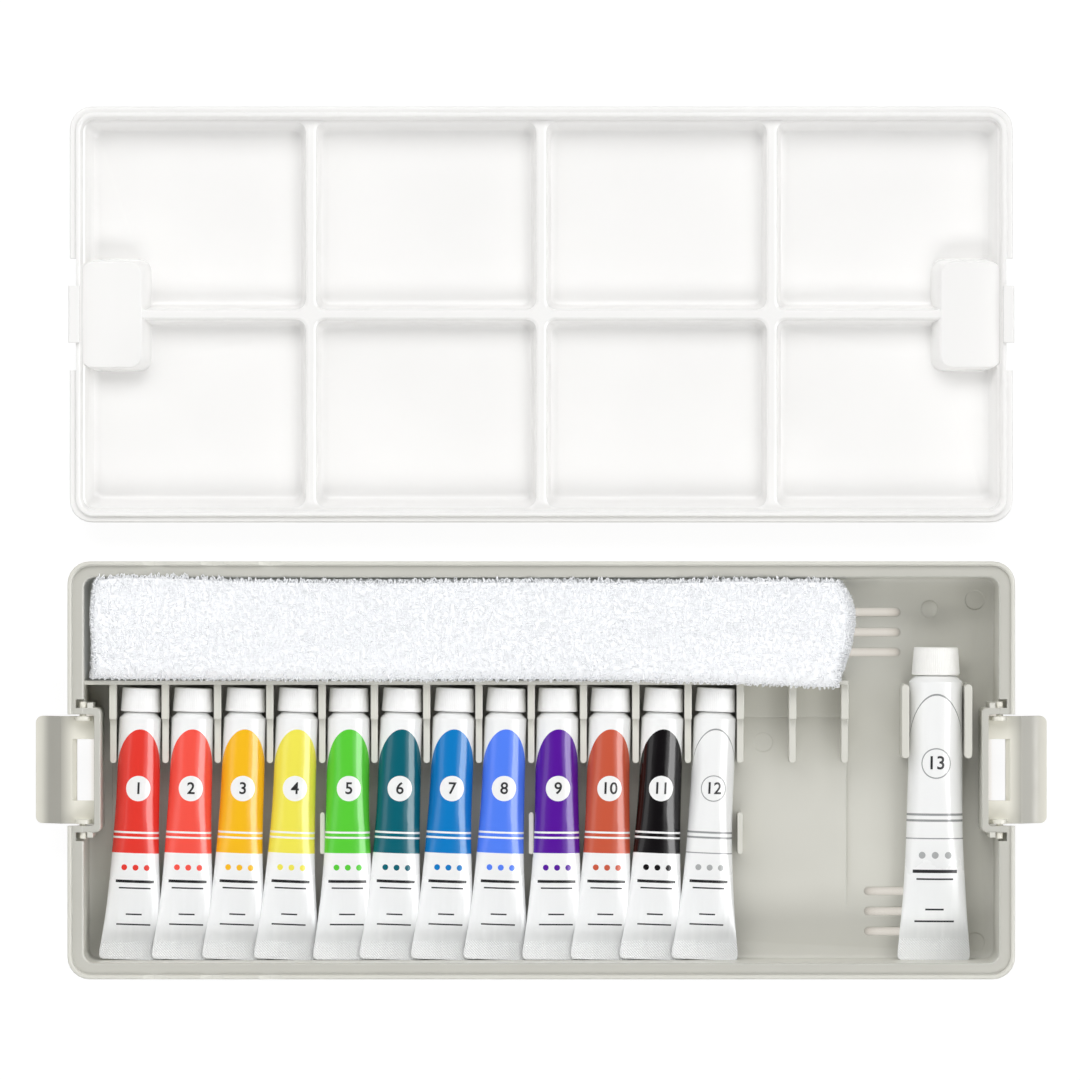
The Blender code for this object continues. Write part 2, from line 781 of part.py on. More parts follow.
def lever_outline():
    """The lever's side view: reach outwards along X, height along Y, hinge at the origin."""
    top = -plate_drop
    low = -plate_drop - plate_width
    corner = plate_width * math.tan(math.atan(scoop_slope) / 2)
    upper = []
    under = []
    for step in range(scoop_steps + 1):
        share = step / scoop_steps
        slope = scoop_slope * (1 - share)
        x = scoop_start + scoop_straight + scoop_curve * share
        y = top - scoop_slope * (scoop_straight + scoop_curve * (share - share**2 / 2))
        upper.append((x, y))
        # The underside runs at an even distance below.
        tilt = math.hypot(1, slope)
        under.append((x - plate_width * slope / tilt, y - plate_width / tilt))
    points = [(-leg_reach, low), (-leg_reach, top), (catch_reach, top), (scoop_start, top)]
    points += upper
    points += [(lever_reach, top - scoop_drop), (lever_reach, low - scoop_drop)]
    points += reversed(under)
    points.append((scoop_start - corner, low))
    return points


def build_levers():
    """Both levers share one mesh: the left one is the right one turned about the vertical."""
    upright = Matrix(((1, 0, 0, 0), (0, 0, -1, 0), (0, 1, 0, 0), (0, 0, 0, 1)))
    right = mesh_object(
        "latch_right", flat_outline("lever", lever_outline(), lever_width, upright), parts, lever_plastic
    )
    half = lever_width / 2
    low = -plate_drop - plate_width - scoop_drop
    plan = loft(*[
        rounded_ring(-lever_reach, lever_reach, -half, half, tip_corner, z)
        for z in (low - overrun, overrun)
    ])
    ears = bmesh.new()
    for side in (-1, 1):
        turn = Matrix.Translation((0, side * (half - ear_width / 2), 0)) @ upright
        outline = [(-ear_foot, -plate_drop - plate_width / 2), (ear_foot, -plate_drop - plate_width / 2)]
        for step in range(cap_end_steps + 1):
            angle = step / cap_end_steps * math.pi
            outline.append((ear_radius * math.cos(angle), ear_radius * math.sin(angle)))
        ear = flat_outline("ear", outline, ear_width, turn)
        scratch = bpy.data.meshes.new("ear")
        ear.to_mesh(scratch)
        ear.free()
        ears.from_mesh(scratch)
        bpy.data.meshes.remove(scratch)
    pins = bmesh.new()
    for side in (-1, 1):
        start = side * (half - ear_width / 2)
        end = side * (recess_width / 2 + frame_wall + pin_tail)
        add_rod(pins, pin_radius, (0, start, 0), (0, end, 0))
    window = flat_outline(
        "window",
        [
            (-leg_reach - overrun, low), (-leg_reach - overrun, 0), (catch_reach + plate_width, 0),
            (catch_reach, -plate_drop), (catch_reach - catch_ramp, -plate_drop - plate_width),
            (catch_reach - catch_ramp, low),
        ],
        window_width,
        upright,
    )
    place = Vector((hinge_x, tray_y, hinge_height))
    combine(right, tool_object("lever_plan", plan, place), "INTERSECT")
    combine(right, tool_object("lever_window", window, place), "DIFFERENCE")
    combine(right, tool_object("lever_ears", ears, place), "UNION")
    combine(right, tool_object("lever_pins", pins, place), "UNION")
    right.location = place
    bpy.context.view_layer.update()
    graph = bpy.context.evaluated_depsgraph_get()
    finished = bpy.data.meshes.new_from_object(right.evaluated_get(graph))
    right.modifiers.clear()
    right.data = finished
    left = bpy.data.objects.new("latch_left", finished)
    left.location = (-hinge_x, tray_y, hinge_height)
    left.rotation_euler.z = math.pi
    parts.objects.link(left)
    smooth(right)


def tube_ring(y, left, right, half_high, sink=0):
    """A slice of the tube: two half ellipses that may reach out unlike to the left and right."""
    ring = []
    for side in range(tube_sides):
        turn = 2 * math.pi * side / tube_sides
        reach = right if math.cos(turn) > 0 else left
        ring.append(Vector((reach * math.cos(turn), y, half_high * math.sin(turn) - sink)))
    return ring


def tube_mesh(name, radius, length, tail, droop, neck, neck_reach, material):
    """A filled tube with its nozzle along +Y: round at the shoulder, flat at the tail.

    The tail is a pair: how far it reaches left and right of the tube's axis. The droop is how far
    the tail's middle lies below that axis.
    """
    rings = [
        tube_ring(y, reach, reach, reach)
        for y, reach in (
            (neck_reach, neck), (shoulder_rise, neck),
            (shoulder_rise, radius - shoulder_slope), (0, radius - soft_edge),
        )
    ]
    for share in body_shares:
        swell = (1 - tube_fullness(share)) ** tube_swell_power
        left, right = (radius + (reach - radius) * swell for reach in tail)
        half_high = tube_half_height(share, radius)
        rings.append(tube_ring(-share * length, left, right, half_high, droop * share**droop_power))
    crimp_share = 1 - tube_crimp / length
    rings.append(tube_ring(tube_crimp - length, *tail, tube_sheet / 2, droop * crimp_share**droop_power))
    rings.append(tube_ring(-length, *tail, tube_sheet / 2, droop))
    bm = loft(*rings)
    bmesh.ops.recalc_face_normals(bm, faces=bm.faces)
    mesh = bpy.data.meshes.new(name)
    bm.to_mesh(mesh)
    bm.free()
    mesh.materials.append(material)
    return mesh


def cap_mesh(name, radius, height, bore):
    """A screw cap turned about its axis, mouth at 0 and roof at its height, open below."""
    profile = [
        (0, height),
        (radius - cap_taper - soft_edge, height),
        (radius - cap_taper, height - soft_edge),
        (radius, soft_edge),
        (radius, 0),
        (bore, 0),
        (bore, height - cap_roof),
        (0, height - cap_roof),
    ]
    bm = bmesh.new()
    points = [bm.verts.new((x, 0, z)) for x, z in profile]
    for start, end in zip(points, points[1:]):
        bm.edges.new((start, end))
    mesh = bpy.data.meshes.new(name)
    bm.to_mesh(mesh)
    bm.free()
    mesh.materials.append(cap_plastic)
    return mesh


def add_cap(name, mesh, parent):
    """Stands the cap on the tube's shoulder, with its own axis along the tube's."""
    cap = bpy.data.objects.new(name, mesh)
    parts.objects.link(cap)
    turned = cap.modifiers.new("turned", "SCREW")
    turned.steps = cap_steps
    turned.render_steps = cap_steps
    turned.use_merge_vertices = True
    turned.merge_threshold = weld
    turned.use_smooth_shade = True
    cap.parent = parent
    cap.location = (0, shoulder_rise + seat_gap, 0)
    cap.rotation_euler.x = -math.pi / 2


def build_tubes():
    """Twelve small tubes, nozzles on the shelf, and the large one between its clips."""
    cap = cap_mesh("small_cap", cap_radius, cap_height, neck_radius + cap_bore_gap)
    leans = [math.radians(lean) for lean in tube_lean_degrees]
    # A tube leans about the middle of the stretch that lies between two dividers.
    pivot = (shoulder_y - (towel_wall_y - divider_length)) / 2
    shoulders = [divider_x(number + 0.5) + pivot * math.tan(lean) for number, lean in enumerate(leans)]
    tails = [x - tube_length * math.sin(lean) for x, lean in zip(shoulders, leans)]
    # Each tail ends halfway to its neighbour's middle, less the gap between them.
    reaches = [(after - here - tube_tail_gap) / 2 for here, after in zip(tails, tails[1:])]
    reaches = [tube_tail / 2] + reaches + [tube_tail / 2]
    for number, (colour_name, colour) in enumerate(paint_colours):
        name = f"tube_{number + 1:02d}"
        paint = make_material("tube_" + colour_name, colour, 0.3)
        tail = (reaches[number], reaches[number + 1])
        mesh = tube_mesh(name, tube_radius, tube_length, tail, small_axis_height - tail_height,
                         neck_radius, neck_length, paint)
        tube = bpy.data.objects.new(name, mesh)
        parts.objects.link(tube)
        tube.location = (shoulders[number], tray_y + shoulder_y, small_axis_height)
        tube.rotation_euler.z = -leans[number]
        smooth(tube)
        add_cap(f"cap_{number + 1:02d}", cap, tube)
    paint = make_material("tube_large_white", (0.9, 0.9, 0.88), 0.3)
    tail = (big_tube_tail / 2, big_tube_tail / 2)
    mesh = tube_mesh("tube_large", big_tube_radius, big_tube_length, tail,
                     big_axis_height - tail_height, big_neck_radius, big_neck_length, paint)
    big = bpy.data.objects.new("tube_large", mesh)
    parts.objects.link(big)
    big.location = (big_tube_x, tray_y + big_shoulder_y, big_axis_height)
    smooth(big)
    big_bore = big_neck_radius + cap_bore_gap
    add_cap("cap_large", cap_mesh("large_cap", big_cap_radius, big_cap_height, big_bore), big)


def build_towel():
    """The folded towel fills the bay behind the towel wall and rounds off at its ends."""
    low_y = towel_wall_y + towel_wall_width / 2 + seat_gap
    high_y = half_width - wall_inset - wall_draft - seat_gap
    start_x = -half_length + wall_inset + wall_draft + seat_gap
    towel_length = last_divider_x + towel_overhang - start_x
    middle_y = (low_y + high_y) / 2
    half_y = (high_y - low_y) / 2
    half_z = towel_height / 2
    stations = []
    for step in range(towel_end_steps + 1):
        turn = step / towel_end_steps * math.pi / 2
        stations.append((towel_end_round * (1 - math.cos(turn)), math.sin(turn)))
    stations = stations + [(towel_length - x, swell) for x, swell in reversed(stations)]
    rings = []
    for along, swell in stations:
        drawn = towel_end_round * towel_end_share * (1 - swell)
        ring = []
        for side in range(towel_sides):
            turn = 2 * math.pi * (side + 0.5) / towel_sides
            wave = [math.copysign(abs(v) ** (2 / towel_square), v) for v in (math.cos(turn), math.sin(turn))]
            ring.append(Vector((start_x + along, middle_y + (half_y - drawn) * wave[0],
                                tray_floor + seat_gap + half_z + (half_z - drawn) * wave[1])))
        rings.append(ring)
    towel = mesh_object("towel", loft(*rings), parts, terry)
    towel.location = (0, tray_y, 0)
    smooth(towel, math.radians(60))


build_tray()
build_lid()
build_levers()
build_tubes()
build_towel()
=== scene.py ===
import math

import bmesh
import bpy
import numpy as np
from mathutils import Matrix, Vector


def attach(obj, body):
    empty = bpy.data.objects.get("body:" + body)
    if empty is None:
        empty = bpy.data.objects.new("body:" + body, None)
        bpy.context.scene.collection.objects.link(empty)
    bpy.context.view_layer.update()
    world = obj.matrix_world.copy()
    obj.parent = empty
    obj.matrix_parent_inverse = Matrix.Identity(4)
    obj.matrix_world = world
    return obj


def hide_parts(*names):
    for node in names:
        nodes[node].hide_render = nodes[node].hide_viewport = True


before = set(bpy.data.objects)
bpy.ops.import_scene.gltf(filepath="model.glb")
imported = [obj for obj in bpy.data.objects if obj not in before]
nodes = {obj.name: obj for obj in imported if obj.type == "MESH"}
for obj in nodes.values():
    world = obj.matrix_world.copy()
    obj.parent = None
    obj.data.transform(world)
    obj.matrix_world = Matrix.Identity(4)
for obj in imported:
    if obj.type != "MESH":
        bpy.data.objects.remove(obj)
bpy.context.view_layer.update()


# Base tray. One injection moulding in warm grey polystyrene, with a finely eroded skin,
# blades that part the tubes, clips, vents and the end frames that carry the levers.
MM = 0.001
tray_grey = (0.722, 0.715, 0.652)
tray_roughness = 0.36
tray_edge = 0.6 * MM
tray_height = 30 * MM
grain_size = 0.22 * MM
grain_height = 0.03 * MM
grain_strength = 0.35
cloud_size = 38 * MM
cloud_shares = (0.975, 1.015)
rubbed_size = 9 * MM
rubbed_reach = 0.06  # how far the roughness wanders where hands rub
noise_middle = (0.3, 0.7)  # where most of the noise lies
corner_weld = 0.002 * MM
sharp_from = math.radians(31)
# Painted shade by height: darker inside and darker still on the ledge, where shade falls; full on the
# lip.
painted_shade_by_height = [(0, 0.87), (0.155, 0.88), (0.18, 0.93), (0.5, 0.95), (0.93, 0.98), (0.932, 0.78),
                (0.958, 0.78), (0.96, 1.0)]


def join_corners(piece):
    """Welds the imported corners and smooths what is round, leaving real edges sharp."""
    tree = bpy.data.node_groups.get("joined_corners")
    if tree is None:
        tree = bpy.data.node_groups.new("joined_corners", "GeometryNodeTree")
        tree.interface.new_socket("Geometry", in_out="INPUT", socket_type="NodeSocketGeometry")
        tree.interface.new_socket("Geometry", in_out="OUTPUT", socket_type="NodeSocketGeometry")
        start = tree.nodes.new("NodeGroupInput")
        plain = tree.nodes.new("GeometryNodeRemoveAttribute")
        plain.inputs["Name"].default_value = "custom_normal"
        weld = tree.nodes.new("GeometryNodeMergeByDistance")
        weld.inputs["Distance"].default_value = corner_weld
        round_faces = tree.nodes.new("GeometryNodeSetShadeSmooth")
        angle = tree.nodes.new("GeometryNodeInputMeshEdgeAngle")
        steep = tree.nodes.new("FunctionNodeCompare")
        steep.operation = "GREATER_THAN"
        steep.inputs[1].default_value = sharp_from
        sharp_edges = tree.nodes.new("GeometryNodeSetShadeSmooth")
        sharp_edges.domain = "EDGE"
        sharp_edges.inputs["Shade Smooth"].default_value = False
        chain = [start, plain, weld, round_faces, sharp_edges, tree.nodes.new("NodeGroupOutput")]
        for before, after in zip(chain, chain[1:]):
            tree.links.new(before.outputs[0], after.inputs[0])
        tree.links.new(angle.outputs["Unsigned Angle"], steep.inputs[0])
        tree.links.new(steep.outputs[0], sharp_edges.inputs["Selection"])
    piece.modifiers.new("joined corners", "NODES").node_group = tree


def start_material(name, roughness, ior_level=0.5):
    """A new node material, its tree and its shader."""
    made = bpy.data.materials.new(name)
    made.use_nodes = True
    shader = made.node_tree.nodes["Principled BSDF"]
    shader.inputs["Roughness"].default_value = roughness
    shader.inputs["Specular IOR Level"].default_value = ior_level
    return made, made.node_tree, shader


def noise_at(tree, size, detail=3.0, where=None):
    """Noise whose lumps are about this large, on the piece's own coordinates."""
    if where is None:
        place = tree.nodes.new("ShaderNodeTexCoord")
        where = place.outputs["Object"]
    grain = tree.nodes.new("ShaderNodeTexNoise")
    grain.inputs["Scale"].default_value = 1 / size
    grain.inputs["Detail"].default_value = detail
    tree.links.new(where, grain.inputs["Vector"])
    return grain.outputs["Fac"]


def rescale(tree, value, start, end=(0, 1), kind="LINEAR"):
    """Maps a value from one range to another."""
    scaled = tree.nodes.new("ShaderNodeMapRange")
    scaled.interpolation_type = kind
    for name, limit in zip(("From Min", "From Max", "To Min", "To Max"), (*start, *end)):
        scaled.inputs[name].default_value = limit
    tree.links.new(value, scaled.inputs["Value"])
    return scaled.outputs["Result"]


def spread(tree, noise, low, high):
    """Maps noise round its middle to a range."""
    return rescale(tree, noise, noise_middle, (low, high))


def blend(tree, factor, first, second, kind="MIX"):
    """A mix of two colours, each a socket or a plain colour."""
    mixed = tree.nodes.new("ShaderNodeMix")
    mixed.data_type = "RGBA"
    mixed.blend_type = kind
    for name, value in (("Factor", factor), ("A", first), ("B", second)):
        if isinstance(value, bpy.types.NodeSocket):
            tree.links.new(value, mixed.inputs[name])
        else:
            mixed.inputs[name].default_value = value if name == "Factor" else (*value, 1)
    return mixed.outputs["Result"]


def shade_colour(tree, colour, value, shares):
    """The colour made darker or lighter by a value, between two shares of itself."""
    low, high = ([part * share for part in colour] for share in shares)
    return blend(tree, value, low, high)


def raise_surface(tree, shader, height, distance, strength, edge=0.0):
    """Bump over an edge that catches the light as a moulded radius does."""
    bump = tree.nodes.new("ShaderNodeBump")
    bump.inputs["Distance"].default_value = distance
    bump.inputs["Strength"].default_value = strength
    tree.links.new(height, bump.inputs["Height"])
    if edge:
        radius = tree.nodes.new("ShaderNodeBevel")
        radius.samples = 6
        radius.inputs["Radius"].default_value = edge
        tree.links.new(radius.outputs["Normal"], bump.inputs["Normal"])
    tree.links.new(bump.outputs["Normal"], shader.inputs["Normal"])


def number(tree, kind, first, second=0.0):
    """A Math node on sockets or plain numbers."""
    made = tree.nodes.new("ShaderNodeMath")
    made.operation = kind
    for socket, value in zip(made.inputs, (first, second)):
        if isinstance(value, (int, float)):
            socket.default_value = value
        else:
            tree.links.new(value, socket)
    return made.outputs[0]


def set_stops(ramp, stops):
    """Sets a ramp's stops, each a place and a grey."""
    while len(ramp.elements) < len(stops):
        ramp.elements.new(0.5)
    for stop, (place, grey) in zip(ramp.elements, stops):
        stop.position = place
        stop.color = (grey, grey, grey, 1)


def moulded_plastic(name, colour, roughness, edge, stops, axis="Z", reach=(0, tray_height)):
    """Moulded plastic, clouded and finely grained, with shade painted in: its colour share set by how
    far out a place lies.
    """
    made, tree, shader = start_material(name, roughness)
    cloud = spread(tree, noise_at(tree, cloud_size, 2.0), 0.0, 1.0)
    shown = shade_colour(tree, colour, cloud, cloud_shares)
    place = tree.nodes.new("ShaderNodeTexCoord")
    apart = tree.nodes.new("ShaderNodeSeparateXYZ")
    tree.links.new(place.outputs["Object"], apart.inputs[0])
    out = rescale(tree, number(tree, "ABSOLUTE", apart.outputs[axis]), reach)
    # Painted shade: a ramp of colour shares by place, darker where shade falls.
    share = tree.nodes.new("ShaderNodeValToRGB")
    set_stops(share.color_ramp, stops)
    tree.links.new(out, share.inputs["Fac"])
    with_painted_shade = blend(tree, 1.0, shown, share.outputs["Color"], "MULTIPLY")
    tree.links.new(with_painted_shade, shader.inputs["Base Color"])
    rubbed = noise_at(tree, rubbed_size, 4.0)
    rubbed = spread(tree, rubbed, roughness - rubbed_reach, roughness + rubbed_reach)
    tree.links.new(rubbed, shader.inputs["Roughness"])
    raise_surface(tree, shader, noise_at(tree, grain_size, 2.0), grain_height, grain_strength, edge)
    return made


def dress(node, material):
    """Gives a carried-over solid its material, whatever slots it has."""
    piece = nodes[node]
    piece.data.materials.clear()
    piece.data.materials.append(material)
    for face in piece.data.polygons:
        face.material_index = 0
    join_corners(piece)


dress("base_tray", moulded_plastic("tray_plastic", tray_grey, tray_roughness, tray_edge, painted_shade_by_height))


# Levers. The same warm grey plastic, moulded apart and a touch lighter, with a window for the
# lid's tab; each snaps into its frame by two pins of its own.
lever_grey = (0.815, 0.798, 0.71)
lever_roughness = 0.46
lever_edge = 0.4 * MM
# Painted shade: the hollow of the scoop is painted darker than the plate and the lip, for its steep
# slope.
scoop_reach = (180 * MM, 195 * MM)
scoop_painted_shade = [(0, 1), (0.07, 0.93), (0.17, 0.78), (0.27, 0.64), (0.32, 0.56), (0.37, 0.51),
                (0.68, 0.5), (0.73, 0.56), (0.79, 0.65), (0.83, 0.74), (0.89, 0.83), (1, 0.9)]
lever_plastic = moulded_plastic("lever_plastic", lever_grey, lever_roughness, lever_edge, scoop_painted_shade,
                                "X", scoop_reach)
for side in ("left", "right"):
    dress(f"latch_{side}", lever_plastic)


# Palette lid. One injection moulding in glossy white polystyrene with eight wells, polished
# so that paint wipes off; it stands behind the tray on its own floor.
lid_white = (0.93, 0.924, 0.912)
lid_roughness = 0.16
lid_edge = 0.6 * MM
lid_cloud_size = 60 * MM
lid_cloud_shares = (0.985, 1.01)
lid_polish_size = 14 * MM
lid_polish = (0.12, 0.21)  # roughness of the best and the worst polished places
lid_wave_size = 22 * MM
lid_wave_height = 0.05 * MM
lid_plastic, tree, shader = start_material("lid_plastic", lid_roughness)
cloud = spread(tree, noise_at(tree, lid_cloud_size, 2.0), 0.0, 1.0)
tree.links.new(shade_colour(tree, lid_white, cloud, lid_cloud_shares), shader.inputs["Base Color"])
polished = spread(tree, noise_at(tree, lid_polish_size, 5.0), *lid_polish)
tree.links.new(polished, shader.inputs["Roughness"])
raise_surface(tree, shader, noise_at(tree, lid_wave_size, 1.0), lid_wave_height, 0.5, lid_edge)
dress("palette_lid", lid_plastic)


# Small tubes. Rolled laminate, round at the moulded shoulder and crimped flat at the tail,
# printed with a colour panel; caps on the shelf, tails sunk, each right edge under the next left.
tube_count = 12
tube_radius = 8.2 * MM
tube_length = 94.2 * MM
tube_crimp = 6.6 * MM
tube_tail = 25.6 * MM
tube_sheet = 0.7 * MM
tube_droop = 3.0 * MM  # how far the tail's middle lies below the nozzle's axis
tube_roll = math.radians(4.2)
tube_lean_degrees = [2.1, 1.9, 2.4, 2.5, 0.6, 2.2, 2.4, 2.2, 0.5, 1.5, 2.4, 2.4]
tube_shoulder_y = -67.8 * MM
tube_shoulder_z = 13.65 * MM
tube_shoulder_mm = [-155.105, -134.92, -114.627, -94.427, -74.538, -54.074,
                    -33.827, -13.782, 6.262, 26.602, 46.973, 67.173]
neck_radius = 4 * MM
tube_sides = 72
tube_number_tall = 6.4 * MM
tube_number_at = 27.6 * MM  # from the shoulder
slim_power = 1.7  # the body thins slowly at first, then fast towards the tail
round_power = 0.9
round_share = 0.8  # of the length: the stretch that the paint keeps round
wide_share = 0.965  # where the tail has its whole width
wide_power = 3
tube_corner = 0.8 * MM  # the moulded edge of the shoulder
tail_corner = 1.6 * MM
sway_height = 0.12 * MM  # how far a filled body is out of true
buckle_height = 0.1 * MM  # how far the sheet has buckled beside the crimp
first_seed = 40
tube_roughness = 0.16
tube_white = (0.92, 0.925, 0.922)
tube_silver = (0.955, 0.97, 0.98)
print_black = (0.02, 0.02, 0.022)
paint_colours = [
    (0.81, 0.046, 0.032), (0.96, 0.098, 0.07), (0.96, 0.52, 0.015), (0.91, 0.82, 0.095),
    (0.105, 0.63, 0.042), (0.003, 0.125, 0.17), (0.004, 0.205, 0.57), (0.09, 0.23, 0.95),
    (0.10, 0.008, 0.34), (0.60, 0.104, 0.052), (0.005, 0.004, 0.005), None,
]


def tube_fullness(share):
    """How round a filled tube still is at this share of its length."""
    return max(0.0, 1 - share ** slim_power) ** round_power


def tube_section(along, radius, length, crimp):
    """Half height and how far the body has widened towards its tail, at a distance along it."""
    share = along / length
    wide = min(1.0, (share / wide_share) ** wide_power)
    if share <= round_share:
        return radius * tube_fullness(share), wide
    # The round runs out smoothly into the flat crimp.
    flat = 1 - crimp / length
    way = min(1.0, (share - round_share) / (flat - round_share))
    start = radius * tube_fullness(round_share)
    bit = 0.01
    fall = (radius * tube_fullness(round_share + bit) - start) * (flat - round_share) / bit
    high = start * (1 + way * way * (2 * way - 3)) + fall * way * (1 - way) ** 2
    return high + tube_sheet / 2 * way * way * (3 - 2 * way), wide


def tube_rings(radius, length, tail, crimp, neck, droop, roll, seed):
    """Rings of points from the neck to the tail, and each point's place on the print in mm."""
    turn = np.radians(-90 + 360 * np.arange(tube_sides + 1) / tube_sides)
    cos, sin = np.cos(turn), np.sin(turn)
    rng = np.random.default_rng(seed)
    phase = rng.uniform(0, 2 * math.pi, 6)
    shoulder = [(3.2 * MM, neck), (1.95 * MM, neck), (1.9 * MM, neck + 0.2 * MM),
                (1.85 * MM, radius - 2.5 * MM), (1.7 * MM, radius - 2.15 * MM)]
    for degrees in range(40, 91, 10):
        bend = math.radians(degrees)
        shoulder.append((tube_corner * (math.cos(bend) - 1),
                         radius + tube_corner * (math.sin(bend) - 1)))
    rings, places = [], []
    for y, reach in shoulder:
        rings.append(np.stack([reach * cos, np.full_like(cos, y), reach * sin], 1))
    stations = np.concatenate([np.linspace(2.2 * MM, length * round_share, 40),
                               np.linspace(length * round_share, length, 46)[1:]])
    for along in stations:
        high, wide = tube_section(along, radius, length, crimp)
        from_end = length - along
        trim = 0.0
        if from_end < tail_corner:
            trim = tail_corner - math.sqrt(max(tail_corner ** 2 - (tail_corner - from_end) ** 2, 0))
        x = (radius + (tail / 2 - radius) * wide - trim) * cos
        # Filled, boxed and shipped, no tube is quite true.
        soft = min(1.0, high / radius) * min(1.0, (along - 2 * MM) / (14 * MM))
        sway = sway_height * soft * (
            np.sin(3 * turn + phase[0] + along / (9 * MM))
            + 0.6 * np.sin(2 * turn + phase[1] - along / (15 * MM)))
        buckle = buckle_height * (1 - soft) * np.sin(x / (2.6 * MM) + phase[2]) * math.exp(
            -max(0.0, from_end - crimp) / (12 * MM)) * (from_end > crimp)
        z = high * sin + buckle * np.sign(sin)
        grow = 1 + sway / radius
        rings.append(np.stack([x * grow, np.full_like(cos, -along), z * grow], 1))
    for ring in rings:
        x, z = ring[:, 0].copy(), ring[:, 2].copy()
        sink = droop * max(0.0, -ring[0, 1] / length) ** 2
        ring[:, 0] = x * math.cos(roll) + z * math.sin(roll)
        ring[:, 2] = z * math.cos(roll) - x * math.sin(roll) - sink
        step = np.linalg.norm(np.diff(ring[:, [0, 2]], axis=0), axis=1)
        arc = np.concatenate([[0], np.cumsum(step)])
        across = (arc[tube_sides // 2] - arc) / MM
        places.append(np.stack([across, np.full_like(across, -ring[0, 1] / MM)], 1))
    return np.array(rings), np.array(places)


def put_in_scene(name, mesh):
    piece = bpy.data.objects.new(name, mesh)
    bpy.context.scene.collection.objects.link(piece)
    return piece


def tube_body(name, rings, places, material):
    """A closed body from its rings, with the print's places as a map in millimetres."""
    count, sides = rings.shape[0], rings.shape[1] - 1
    points = [tuple(p) for ring in rings for p in ring[:sides]]
    faces, maps = [], []
    for row in range(count - 1):
        for side in range(sides):
            after = (side + 1) % sides
            faces.append((row * sides + side, (row + 1) * sides + side,
                          (row + 1) * sides + after, row * sides + after))
            maps.append((places[row, side], places[row + 1, side],
                         places[row + 1, side + 1], places[row, side + 1]))
    faces.append(tuple(range(sides)))
    maps.append([places[0, k] for k in range(sides)])
    last = (count - 1) * sides
    faces.append(tuple(last + k for k in reversed(range(sides))))
    maps.append([places[-1, k] for k in reversed(range(sides))])
    mesh = bpy.data.meshes.new(name)
    mesh.from_pydata(points, [], faces)
    layer = mesh.uv_layers.new(name="print_mm")
    layer.data.foreach_set("uv", np.array([p for face in maps for p in face], dtype=np.float32).ravel())
    mesh.shade_smooth()
    for face in mesh.polygons[-2:]:
        face.use_smooth = False
    mesh.materials.append(material)
    return put_in_scene(name, mesh)


# The print, in millimetres of a small tube: along from the shoulder, across from its middle.
arch_start = 4.6
arch_curve = 0.105
arch_end = 22.0
panel_end = 52.6
panel_reach = 15.2
disc_along = 27.5
disc_radius = 4.9
rules_along = (44.6, 46.6)
rule_half = 0.38
dots_along = 58.2
dots_reach = 6.0
dot_radius = 1.15
dot_pitch = 4.4
# Each bar's place along, and how far it reaches from its middle along and across.
bars = [(63.6, 0.55, 7.6), (66.2, 0.28, 6.2), (76.4, 0.3, 3.1), (80.4, 0.3, 6.6)]
arch_line_half = 0.3
line_half = 0.2
outline_grey = (0.32, 0.33, 0.33)
dots_grey = (0.42, 0.43, 0.43)
foil_start = 46.0
foil_whole = 88.0
foil_reach = 11.0
# Painted shade across the foil, from its light left to its greyer right.
foil_painted_shade = (1.0, 0.76)
foil_metal = 0.1
foil_matt = 0.3
lattice_pitch = 1.05
streak_scale = (1 / 3.4, 1 / 38, 1)
wave_size = 6 * MM
tube_polish_size = 5 * MM
tube_polish = (0.13, 0.21)
# Relief of the laminate, as shares of one depth.
relief = 0.09 * MM
relief_strength = 0.55
lattice_height_share = 1.9
wave_height_share = 2.2
streak_height_share = 9.0


def either(tree, *masks):
    total = masks[0]
    for mask in masks[1:]:
        total = number(tree, "MAXIMUM", total, mask)
    return total


def both(tree, *masks):
    total = masks[0]
    for mask in masks[1:]:
        total = number(tree, "MULTIPLY", total, mask)
    return total


def near(tree, value, middle, reach):
    """One where a value lies within reach of a middle."""
    off = number(tree, "ABSOLUTE", number(tree, "SUBTRACT", value, middle))
    return number(tree, "LESS_THAN", off, reach)


def far_from(tree, across, along):
    """The distance of a place whose two offsets are given."""
    across, along = (number(tree, "POWER", offset, 2.0) for offset in (across, along))
    return number(tree, "SQRT", number(tree, "ADD", across, along))


